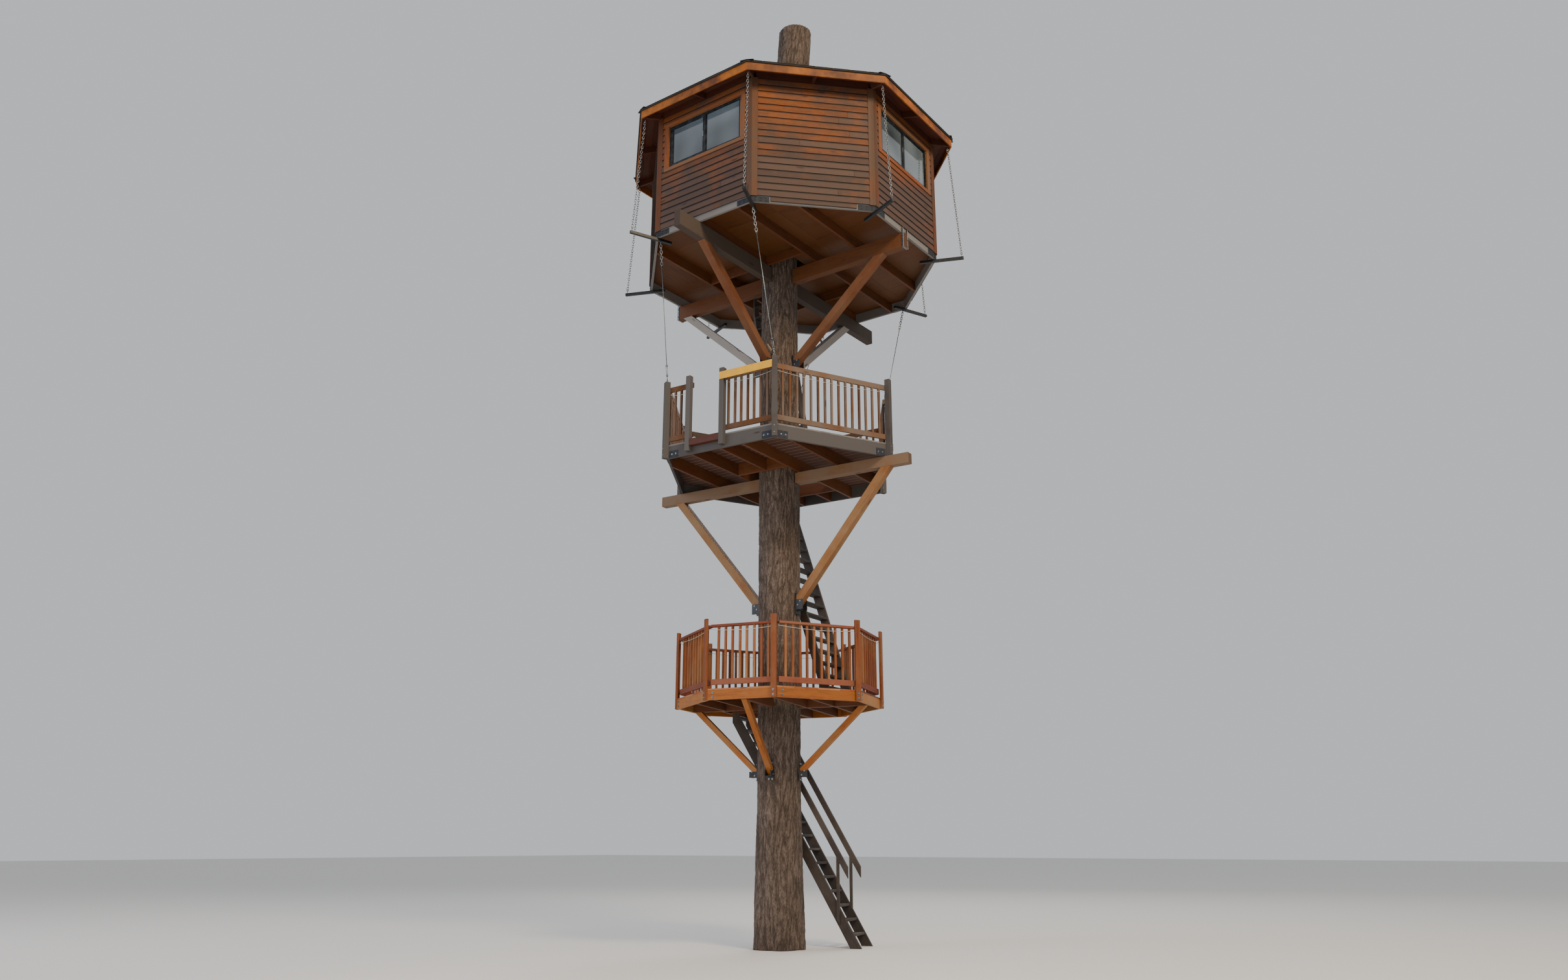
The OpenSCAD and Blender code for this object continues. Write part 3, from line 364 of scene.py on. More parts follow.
class Finishes:
    """Every finish of the tree house, each named for the real one."""

    # Lap siding weathered from orange cedar to grey brown, least under the eaves; lap faces that look down and a band
    # below each lap get near black painted shade
    SIDING = TimberFinish("weathered cedar lap siding", "#85470f", "#4e2b0e", "#46352d", 0.57, 0.7, 6.0, 1.2,
                          0.46, True, (12.5, 14.1), "#120b07", 0.9, 0.26, (11.945, 0.127))
    # Corner boards hold their stain longer than the siding
    TRIM = TimberFinish("stained cedar trim", "#64340f", "#41200b", "#4b3626", 0.34, 0.7, 6.0, 0.7, 0.35)
    CASING = TimberFinish("stained fir window casing", "#86460f", "#5b2d0f", "#65472e", 0.3, 0.6, 6.0, 0.6, 0.3)
    # The fascia is dark brown, with stain left bright in patches
    FASCIA = TimberFinish("stained cedar fascia", "#5c310f", "#3c200b", "#a9600c", 0.13, 0.62, 7.0, 0.6, 0.3,
                          True, (-1.0, 0.0), "#2e2118", 0.5, 0.1)
    # Shaded undersides keep a deep orange brown and look smooth
    JOIST = TimberFinish("oiled fir joist", "#5d310d", "#3c1e09", "#55361b", 0.1, 0.66, 9.0, 0.6, 0.4)
    PLYWOOD = TimberFinish("stained plywood sheet", "#58310b", "#422409", "#4f3417", 0.12, 0.62, 16.0, 0.3, 0.22, False)
    SOFFIT = TimberFinish("red brown soffit boards", "#4f2415", "#33170b", "#443124", 0.1, 0.68, 7.0, 0.6, 0.4)
    # Braces stand in sun and rain: orange brown on two sides, silver on the others
    BRACE = TimberFinish("sun bleached fir brace", "#693710", "#46230b", "#6d492e", 0.35, 0.7, 8.0, 1.2, 0.3)
    TAN = TimberFinish("pale tan fir brace", "#94602b", "#6a421f", "#90714f", 0.55, 0.72, 8.0, 1.2, 0.25)
    DULL = TimberFinish("dull tan fir beam", "#7a5026", "#523216", "#6f5a47", 0.45, 0.76, 8.0, 1.3, 0.25)
    SILVER = TimberFinish("silvered fir beam", "#8a7a6c", "#64564b", "#9a938b", 0.7, 0.78, 8.0, 1.4, 0.3)
    BROWN = TimberFinish("weathered brown beam", "#433020", "#2c1d13", "#40362e", 0.5, 0.78, 8.0, 1.4, 0.3)
    # Old deck timber, silver grey with brown left in the grain; the boards' undersides keep brown stain, darkened
    # further as painted shade
    GREY = TimberFinish("weathered deck timber", "#433731", "#2e2521", "#4c4948", 0.7, 0.82, 6.0, 1.2, 0.4)
    DECKING = TimberFinish("weathered deck boards", "#5f5148", "#433830", "#6f6c69", 0.7, 0.82, 6.0, 1.2, 0.4, True,
                           (-1.0, 0.0), "#45210c", 0.9)
    RAIL = TimberFinish("weathered railing timber", "#6a4019", "#452610", "#65564a", 0.38, 0.8, 6.0, 1.2, 0.6)
    RIM = TimberFinish("grey painted rim board", "#5b5856", "#474442", "#6f6c6a", 0.7, 0.7, 10.0, 0.6, 0.2, False)
    # Newer boards still orange from their stain
    CEDAR = TimberFinish("fresh orange cedar", "#9e590d", "#733c0b", "#90683a", 0.24, 0.6, 6.0, 0.8, 0.35)
    RED_CEDAR = TimberFinish("red brown stained rail", "#7b3518", "#56230f", "#7a4a31", 0.25, 0.62, 6.0, 0.8, 0.35)
    BROWN_CEDAR = TimberFinish("brown stained cedar post", "#84430f", "#59290a", "#835a36", 0.32, 0.64, 6.0, 0.8, 0.4)
    # The same cedar on boards whose undersides stay in the dark
    LANDING = TimberFinish("orange cedar deck boards", "#a3541d", "#793b14", "#976a45", 0.2, 0.6, 6.0, 0.8, 0.35, True,
                           (-1.0, 0.0), "#4a210a", 0.85)
    # Ladder stairs soaked in dark stain
    STAIR = TimberFinish("dark stained stair timber", "#332b26", "#1e1916", "#49413b", 0.3, 0.7, 7.0, 1.0, 0.3)
    # Black paint on plate steel, chalky where the sun reaches it
    BLACK_STEEL = CoatFinish("black painted steel", "#101113", "#202124", 40, 3, 0.0, 0.45, 0.15)
    PLATE_STEEL = CoatFinish("blue grey painted plate", "#1b2027", "#2b313a", 45, 3, 0.0, 0.72, 0.15, 1.4)
    # Dull zinc with pale spangle
    ZINC = CoatFinish("hot dip galvanised steel", "#6c7073", "#94989b", 14, 3, 1.0, 0.42, 0.1)
    # Thin pale wire, slack between the posts
    WIRE = CoatFinish("pale plastic coated wire", "#a9a9a6", "#c4c3bf", 50, 5, 0.0, 0.5, 0.05)
    ALUMINIUM = CoatFinish("dark anodised aluminium", "#2f3133", "#414447", 90, 2, 0.85, 0.38, 0.05)
    SHINGLE = CoatFinish("mineral felt shingle", "#201f1f", "#2f2d2c", 700, 2.5, 0.0, 0.92, 0.9, tone_spread=0.9)
    # Sign paint, a little faded, no lettering
    YELLOW = CoatFinish("yellow sign paint", "#cf9a00", "#dba600", 110, 5, 0.0, 0.5, 0.1)
    # Nail and screw heads gone dull and dark
    NAIL = CoatFinish("dull nail head", "#191512", "#2a2420", 9, 2, 0.3, 0.7, 0.05)
    # Bright window track and sash edges, still pale
    TRACK = CoatFinish("pale anodised aluminium", "#83888c", "#9aa0a4", 60, 2, 0.85, 0.35, 0.05)
    STUB = CoatFinish("broken branch wood", "#b39a7a", "#8b7152", 12, 3, 0.0, 0.85, 0.8)
    SAWN_TOP = CoatFinish("sawn trunk top", "#a98a66", "#7d6044", 30, 3, 0.0, 0.85, 0.8)
    BARK = BarkFinish()
    LINING = LiningFinish()
    GLASS = GlassFinish()


@dataclass(frozen=True)
class Outline:
    """Plan outline of a floor: side 0 faces front and the sides follow anticlockwise."""

    turn: float
    even: float
    odd: float
    step: float
    centre: tuple[float, float] = (0.0, 0.0)

    @property
    def sides(self) -> range:
        """The numbers of the sides."""
        return range(round(360 / self.step))

    def reach(self, k: int) -> float:
        """Distance of side k from the middle."""
        return self.even if k % 2 == 0 else self.odd

    def end(self, k: int, inset: float, way: int) -> float:
        """Place of a corner along side k.

        Args:
            k: The side.
            inset: How far the lines are set in from the rim.
            way: 1 for the corner after the side, -1 for the one before it.

        Returns:
            The distance along the side from its middle.
        """
        turn = math.radians(self.step)
        near, far = self.reach(k) - inset, self.reach(k + way) - inset
        return way * (far - near * math.cos(turn)) / math.sin(turn)

    def normal(self, k: float) -> Vector:
        """Outward direction of side k."""
        angle = math.radians(self.turn + self.step * k)
        return Vector((math.cos(angle), math.sin(angle), 0.0))

    def along(self, k: float) -> Vector:
        """Direction along side k, anticlockwise."""
        return UP.cross(self.normal(k))

    def spot(self, k: float, out: float, t: float, z: float) -> Vector:
        """Point at a distance out, t along side k and z above the ground."""
        return Vector((*self.centre, z)) + self.normal(k) * out + self.along(k) * t


class Joinery:
    """Board and fitting work shared by all sub-assemblies."""

    @staticmethod
    def box(bm: bmesh.types.BMesh, corner: Vector, x: Vector, y: Vector, z: Vector) -> list[bmesh.types.BMVert]:
        """Add a box from one corner and its three edges.

        Args:
            bm: The mesh that gets the box.
            corner: The corner it starts from.
            x: First edge.
            y: Second edge.
            z: Third edge.

        Returns:
            The eight new vertices.
        """
        matrix = Matrix((x, y, z)).transposed().to_4x4()
        matrix.translation = corner + (x + y + z) / 2
        return bmesh.ops.create_cube(bm, size=1.0, matrix=matrix)["verts"]

    @staticmethod
    def block(bm: bmesh.types.BMesh, line: Outline, k: float, out: tuple[float, float],
              t: tuple[float, float], z: tuple[float, float]) -> list[bmesh.types.BMVert]:
        """Add a box square to side k between two distances out, along and up.

        Args:
            bm: The mesh that gets the box.
            line: The outline it belongs to.
            k: The side.
            out: Least and largest distance from the middle.
            t: First and last place along the side.
            z: Bottom and top.

        Returns:
            The eight new vertices.
        """
        return Joinery.box(bm, line.spot(k, out[0], t[0], z[0]), line.normal(k) * (out[1] - out[0]),
                           line.along(k) * (t[1] - t[0]), UP * (z[1] - z[0]))

    @staticmethod
    def moulding(bm: bmesh.types.BMesh, section: list[Vector], path: Vector) -> None:
        """Extrude a flat section along a straight path.

        Args:
            bm: The mesh that gets the moulding.
            section: The corners of the section in order.
            path: The vector from its start to its end.
        """
        face = bm.faces.new([bm.verts.new(p) for p in section])
        made = bmesh.ops.extrude_face_region(bm, geom=[face])["geom"]
        bmesh.ops.translate(bm, vec=path, verts=[g for g in made if isinstance(g, bmesh.types.BMVert)])

    @staticmethod
    def cad_copy(*nodes: str) -> bmesh.types.BMesh:
        """Copy CAD nodes into one mesh with whole flat faces.

        Args:
            nodes: The nodes to copy.

        Returns:
            A mesh whose triangles are merged where they are flat.
        """
        bm = bmesh.new()
        for node in nodes:
            bm.from_mesh(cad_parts[node].data)
        bmesh.ops.remove_doubles(bm, verts=bm.verts, dist=2e-5)
        bmesh.ops.dissolve_limit(bm, angle_limit=math.radians(0.6), verts=bm.verts, edges=bm.edges)
        return bm

    @staticmethod
    def islands(bm: bmesh.types.BMesh) -> list[list[bmesh.types.BMFace]]:
        """Group the faces of a mesh by the board that they belong to."""
        bm.faces.ensure_lookup_table()
        bm.faces.index_update()
        seen: set[int] = set()
        groups = []
        for first in bm.faces:
            if first.index in seen:
                continue
            seen.add(first.index)
            stack, group = [first], []
            while stack:
                face = stack.pop()
                group.append(face)
                for edge in face.edges:
                    for other in edge.link_faces:
                        if other.index not in seen:
                            seen.add(other.index)
                            stack.append(other)
            groups.append(group)
        return groups

    @staticmethod
    def split(bm: bmesh.types.BMesh) -> list[bmesh.types.BMesh]:
        """Give each separate solid of a mesh a mesh of its own."""
        parts = []
        for group in Joinery.islands(bm):
            keep = {f.index for f in group}
            part = bm.copy()
            part.faces.ensure_lookup_table()
            bmesh.ops.delete(part, geom=[f for f in part.faces if f.index not in keep], context="FACES")
            parts.append(part)
        return parts

    @staticmethod
    def join(target: bmesh.types.BMesh, part: bmesh.types.BMesh) -> None:
        """Move one mesh into another and free it."""
        holder = bpy.data.meshes.new("holder")
        part.to_mesh(holder)
        target.from_mesh(holder)
        part.free()
        bpy.data.meshes.remove(holder)

    @staticmethod
    def saw(slab: bmesh.types.BMesh, normal: Vector, places: list[float], kerf: float) -> bmesh.types.BMesh:
        """Cut a slab into boards square to a direction.

        Args:
            slab: The mesh to cut, which is freed.
            normal: The direction across the boards.
            places: Where the joints are, along that direction.
            kerf: Width of the joint.

        Returns:
            The boards in one mesh.
        """
        boards = bmesh.new()
        reach = [v.co.dot(normal) for v in slab.verts]
        marks = [p for p in places if min(reach) + 0.01 < p < max(reach) - 0.01]
        for low, high in zip([min(reach) - 1] + marks, marks + [max(reach) + 1]):
            part = slab.copy()
            for place, way in ((low + kerf / 2, -1), (high - kerf / 2, 1)):
                bmesh.ops.bisect_plane(part, geom=part.verts[:] + part.edges[:] + part.faces[:], dist=1e-6,
                                       plane_co=normal * place, plane_no=normal * way, clear_outer=True)
                open_edges = [e for e in part.edges if e.is_boundary]
                if open_edges:
                    bmesh.ops.holes_fill(part, edges=open_edges)
            Joinery.join(boards, part)
        slab.free()
        return boards

    @staticmethod
    def ease(bm: bmesh.types.BMesh, width: float, segments: int = 1) -> None:
        """Ease every sharp edge.

        Args:
            bm: The mesh to ease.
            width: How far the edge is taken off.
            segments: Faces across the eased edge.
        """
        sharp = [e for e in bm.edges if len(e.link_faces) == 2 and e.calc_face_angle(0) > math.radians(25)]
        bmesh.ops.bevel(bm, geom=sharp, offset=width, offset_type="OFFSET", affect="EDGES", segments=segments,
                        profile=0.5, material=-1, clamp_overlap=True)

    @staticmethod
    def lay_grain(bm: bmesh.types.BMesh, seed: int, eased: float, shade_undersides: bool) -> None:
        """Write the grain map and the board marks: tone, end grain with painted shade on faces that look down, and
        eased edge.

        Args:
            bm: The mesh with one island for each board.
            seed: Start of the random tones.
            eased: Width of the eased edges.
            shade_undersides: Whether the faces that look down get painted shade, as dark as end grain.
        """
        uv = bm.loops.layers.uv.new("grain")
        marks = bm.loops.layers.float_color.new("board")
        rng = random.Random(seed)
        for group in Joinery.islands(bm):
            longest = max((e for f in group for e in f.edges), key=lambda e: e.calc_length())
            axis = (longest.verts[1].co - longest.verts[0].co).normalized()
            tone, du, dv = rng.random(), rng.uniform(0, 30), rng.uniform(0, 30)
            for face in group:
                across = axis.cross(face.normal)
                end = 1.0 if across.length < 0.45 else 0.0
                first = face.normal.orthogonal().normalized() if end else axis
                second = first.cross(face.normal).normalized() if end else across.normalized()
                # Where asked, faces that look down take the end grain mark as painted shade
                if shade_undersides and face.normal.z < -0.75:
                    end = 1.0
                edge = 1.0 if min(e.calc_length() for e in face.edges) < eased * 1.7 else 0.0
                for loop in face.loops:
                    place = loop.vert.co
                    loop[uv].uv = (place.dot(first) + du, place.dot(second) + dv)
                    loop[marks] = (tone, end, edge, 1.0)

    @staticmethod
    def show(bm: bmesh.types.BMesh, name: str, finish: Any, slot: str, replaces: tuple[str, ...] = (),
             smooth: bool = False) -> bpy.types.Object:
        """Turn a mesh into a finished piece on the tree house.

        Args:
            bm: The mesh, which is freed.
            name: Name of the piece.
            finish: The finish that it gets.
            slot: The material slot of the record it takes its finish from; not used.
            replaces: CAD nodes that it stands for.
            smooth: Whether its faces are shaded smooth.

        Returns:
            The new object.
        """
        mesh = bpy.data.meshes.new(name)
        bm.to_mesh(mesh)
        bm.free()
        mesh.shade_smooth() if smooth else mesh.shade_flat()
        piece = bpy.data.objects.new(name, mesh)
        bpy.context.scene.collection.objects.link(piece)
        mesh.materials.append(finish.make())
        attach(piece, "root")
        if replaces:
            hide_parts(*replaces)
        LOG.info("%s: %d faces", name, len(mesh.polygons))
        return piece

    @staticmethod
    def timber(bm: bmesh.types.BMesh, name: str, finish: TimberFinish, slot: str,
               replaces: tuple[str, ...] = (), eased: float = 0.003, shade_undersides: bool = False) -> bpy.types.Object:
        """Ease and grain a mesh of boards and make it a piece.

        Args:
            bm: The boards, one island each.
            name: Name of the piece.
            finish: The timber.
            slot: The material slot of the record.
            replaces: CAD nodes that it stands for.
            eased: Width of the eased edges.
            shade_undersides: Whether the faces that look down get painted shade.

        Returns:
            The new object.
        """
        bmesh.ops.recalc_face_normals(bm, faces=bm.faces)
        Joinery.ease(bm, eased)
        Joinery.lay_grain(bm, len(name) * 31 + ord(name[0]), eased, shade_undersides)
        return Joinery.show(bm, name, finish, slot, replaces)

    @staticmethod
    def dress(node: str, finish: TimberFinish, slot: str, eased: float = 0.003) -> bpy.types.Object:
        """Replace a CAD node of plain boards by eased boards with grain."""
        return Joinery.timber(Joinery.cad_copy(node), node + "_dressed", finish, slot, (node,), eased)


class Head(Enum):
    """How the end of a bolt shows."""

    HEX = 6
    SQUARE = 4


class Ironmonger:
    """Bolts, chain and rod ends, each copied from one small pattern."""

    @staticmethod
    def bolt(bm: bmesh.types.BMesh, place: Vector, out: Vector, size: float = 0.016, head: Head = Head.HEX) -> None:
        """Add a bolt head on its washer.

        Args:
            bm: The mesh that gets the bolt.
            place: Middle of the washer on the surface.
            out: Direction away from the surface.
            size: Diameter of the shank.
            head: Shape of the head.
        """
        turn = out.to_track_quat("Z", "Y").to_matrix().to_4x4()
        layers = ((size * 1.3, 0.15 * size, 12, 0.0), (size * 0.9, 0.6 * size, head.value, 0.15 * size))
        for radius, depth, sides, lift in layers:
            matrix = turn.copy()
            matrix.translation = place + out * (lift + depth / 2)
            bmesh.ops.create_cone(bm, cap_ends=True, segments=sides, radius1=radius, radius2=radius * 0.94,
                                  depth=depth, matrix=matrix)

    @staticmethod
    def rod(bm: bmesh.types.BMesh, start: Vector, end: Vector, radius: float, sides: int = 10) -> None:
        """Add a straight round bar between two points."""
        path = end - start
        matrix = path.to_track_quat("Z", "Y").to_matrix().to_4x4()
        matrix.translation = (start + end) / 2
        bmesh.ops.create_cone(bm, cap_ends=True, segments=sides, radius1=radius, radius2=radius,
                              depth=path.length, matrix=matrix)

    @staticmethod
    def ring(bm: bmesh.types.BMesh, place: Vector, hole: Vector, radius: float, wire: float,
             stretch: float = 1.0, along: Vector = UP, steps: int = 10, sides: int = 5) -> None:
        """Add a ring of round bar, stretched into a link where asked.

        Args:
            bm: The mesh that gets the ring.
            place: Its middle.
            hole: Direction through its hole.
            radius: Mean radius of the ring.
            wire: Radius of the bar.
            stretch: How much longer it is along its length than across.
            along: Direction of its length.
            steps: Faces round the ring.
            sides: Faces round the bar.
        """
        link = bmesh.new()
        section = Matrix.Translation((radius, 0, 0)) @ Matrix.Rotation(math.pi / 2, 4, "X")
        bmesh.ops.create_circle(link, segments=sides, radius=wire, matrix=section)
        bmesh.ops.spin(link, geom=link.verts[:] + link.edges[:], cent=(0, 0, 0), axis=(0, 0, 1),
                       angle=math.tau, steps=steps, use_merge=True)
        bmesh.ops.remove_doubles(link, verts=link.verts, dist=1e-6)
        bmesh.ops.scale(link, vec=(1, stretch, 1), verts=link.verts)
        length = along.normalized()
        through = (hole - length * hole.dot(length)).normalized()
        turn = Matrix((length.cross(through), length, through)).transposed().to_4x4()
        turn.translation = place
        bmesh.ops.transform(link, matrix=turn, verts=link.verts)
        bmesh.ops.recalc_face_normals(link, faces=link.faces)
        Joinery.join(bm, link)

    @staticmethod
    def screws(name: str, line: Outline, z: float, joists: Iterable[float], board: float,
               hatch: tuple[float, float, float]) -> None:
        """Drive two screws through every deck board at every joist.

        Args:
            name: Name of the piece.
            line: Outline of the deck, whose boards lie along its front side.
            z: Top of the boards.
            joists: Places of the joists along the front side.
            board: Width of the boards.
            hatch: Left, right and back edge of the hatch behind the trunk.
        """
        bm = bmesh.new()
        for t in joists:
            for i in range(-14, 14):
                for share in (0.26, 0.74):
                    out = (i + share) * board
                    place = line.spot(0, out, t, z)
                    inside = all(line.normal(k).dot(place - Vector((0, 0, z))) < line.reach(k) - 0.03
                                 for k in line.sides)
                    at_trunk = abs(t) < 0.44 and abs(out) < 0.44
                    at_hatch = hatch[0] - 0.01 < t < hatch[1] + 0.01 and 0.41 < -out < hatch[2] + 0.01
                    if inside and not at_trunk and not at_hatch:
                        bmesh.ops.create_cone(bm, cap_ends=True, segments=8, radius1=0.005, radius2=0.0045,
                                              depth=0.0012, matrix=Matrix.Translation(place))
        Joinery.show(bm, name, Finishes.NAIL, "galvanised")

    @staticmethod
    def chain(bm: bmesh.types.BMesh, start: Vector, end: Vector, pitch: float = 0.05, wire: float = 0.0045) -> None:
        """Add a straight chain of oval links, each turned a quarter from the last.

        Args:
            bm: The mesh that gets the chain.
            start: Its first point.
            end: Its last point.
            pitch: Distance from link to link.
            wire: Radius of the link bar.
        """
        path = end - start
        way = path.normalized()
        count = max(2, round(path.length / pitch))
        flat, side = way.orthogonal().normalized(), way.cross(way.orthogonal().normalized())
        for i in range(count):
            middle = start + way * ((i + 0.5) * path.length / count)
            half = path.length / count / 2 + wire * 1.6
            Ironmonger.ring(bm, middle, flat if i % 2 else side, half / 1.75, wire, 1.75, way)


@dataclass
class Trunk:
    """The living post: furrowed bark over the CAD solid, scars of lopped branches, a sawn top."""

    foot: float = 0.45
    butt: float = 0.40
    butt_z: float = 0.90
    shaft_z: float = 2.30
    shaft: float = 0.365
    neck_z: float = 8.50
    top: float = 0.34
    neck_end: float = 9.60
    tip: float = 0.325
    height: float = 17.20
    lean_z: float = 12.04
    lean_to: tuple[float, float] = (0.131644, 0.12276)
    roof_z: float = 15.059
    around: int = 180
    rows: int = 530

    def radius(self, z: float) -> float:
        """Radius of the plain trunk at a height."""
        marks = [(0, self.foot), (self.butt_z, self.butt), (self.shaft_z, self.shaft), (self.neck_z, self.shaft),
                 (self.neck_end, self.top), (self.lean_z, self.top - 0.008), (self.height, self.tip)]
        for (z0, r0), (z1, r1) in zip(marks, marks[1:]):
            if z <= z1:
                return r0 + (r1 - r0) * (z - z0) / (z1 - z0)
        return self.tip

    def middle(self, z: float) -> Vector:
        """Middle of the trunk at a height: upright to the cabin floor, leaning above it."""
        share = max(0.0, z - self.lean_z) / (self.roof_z - self.lean_z)
        return Vector((self.lean_to[0] * share, self.lean_to[1] * share, z))

    @staticmethod
    def furrow(angle: float, z: float) -> float:
        """Depth of the bark at a point, from 0 on a plate to 1 in a crack."""
        wander = noise.noise(Vector((math.cos(angle) * 2, math.sin(angle) * 2, z * 0.8))) * 0.16
        turn = angle + wander
        ridge = 1 - abs(noise.noise(Vector((math.cos(turn) * 8.5, math.sin(turn) * 8.5, z * 3.2)))) * 3.6
        cross = 1 - abs(noise.noise(Vector((math.cos(turn) * 13, math.sin(turn) * 13, z * 6.5 + 9)))) * 3.6
        return min(1.0, max(0.0, ridge) * 0.8 + max(0.0, cross) * 0.45)

    def stub(self, angle: float, z: float, length: float) -> None:
        """Leave the pale stub of a broken branch.

        Args:
            angle: Direction on the trunk, in degrees.
            z: Height above the ground.
            length: How far it stands out.
        """
        bm = bmesh.new()
        way = Vector((math.cos(math.radians(angle)), math.sin(math.radians(angle)), 0.55)).normalized()
        start = self.middle(z) + Vector((way.x, way.y, 0)).normalized() * (self.radius(z) - 0.03)
        matrix = way.to_track_quat("Z", "Y").to_matrix().to_4x4()
        matrix.translation = start + way * length / 2
        made = bmesh.ops.create_cone(bm, cap_ends=True, segments=14, radius1=0.024, radius2=0.013, depth=length,
                                     matrix=matrix)["verts"]
        for vert in made:
            vert.co += way * 0.02 * noise.noise(vert.co * 60)
        Joinery.show(bm, f"branch_stub_{round(z)}", Finishes.STUB, "bark")

    def build(self) -> None:
        """Make the bark and the sawn top."""
        self.stub(-83.6, 10.18, 0.15)
        self.stub(118.0, 6.6, 0.10)
        bm = bmesh.new()
        line = [bm.verts.new((self.radius(z), 0, z)) for z in
                (self.height * i / self.rows for i in range(self.rows + 1))]
        edges = [bm.edges.new(pair) for pair in zip(line, line[1:])]
        bmesh.ops.spin(bm, geom=line + edges, cent=(0, 0, 0), axis=(0, 0, 1), angle=math.tau,
                       steps=self.around, use_merge=True)
        bmesh.ops.remove_doubles(bm, verts=bm.verts, dist=1e-5)
        depth = bm.verts.layers.float.new("depth")
        rng = random.Random(7)
        scars = [(rng.uniform(0, math.tau), 1.4 + i * 0.98 + rng.uniform(-0.3, 0.3), rng.uniform(0.03, 0.055))
                 for i in range(15)]
        for vert in bm.verts:
            z, angle = vert.co.z, math.atan2(vert.co.y, vert.co.x)
            radius = self.radius(z)
            deep = self.furrow(angle, z)
            sink = 0.016 * deep + 0.002
            root = max(0.0, 1 - z / self.butt_z) ** 1.5
            sink += root * 0.055 * (0.5 + 0.5 * math.cos(angle * 5 + 0.7 + 2 * noise.noise(Vector((angle, z, 3)))))
            for scar_angle, scar_z, size in scars:
                gap = abs(math.remainder(angle - scar_angle, math.tau)) * radius
                away = math.hypot(gap, (z - scar_z) * 0.8) / size
                if away < 1.6:
                    deep = max(0.0, deep - 0.6 * (1.6 - away)) if away > 0.7 else 0.55
                    sink = sink * 0.35 + (0.014 if away < 0.7 else 0.0)
            vert[depth] = deep
            out = Vector((math.cos(angle), math.sin(angle), 0))
            vert.co = self.middle(z) + out * (radius - sink)
        rims = [e for e in bm.edges if e.is_boundary]
        bmesh.ops.holes_fill(bm, edges=rims)
        bmesh.ops.recalc_face_normals(bm, faces=bm.faces)
        top = max(bm.faces, key=lambda f: f.calc_center_median().z + len(f.verts) * 0.01)
        top.material_index = 1
        piece = Joinery.show(bm, "trunk_bark", Finishes.BARK, "bark", ("trunk",), smooth=True)
        piece.data.materials.append(Finishes.SAWN_TOP.make())


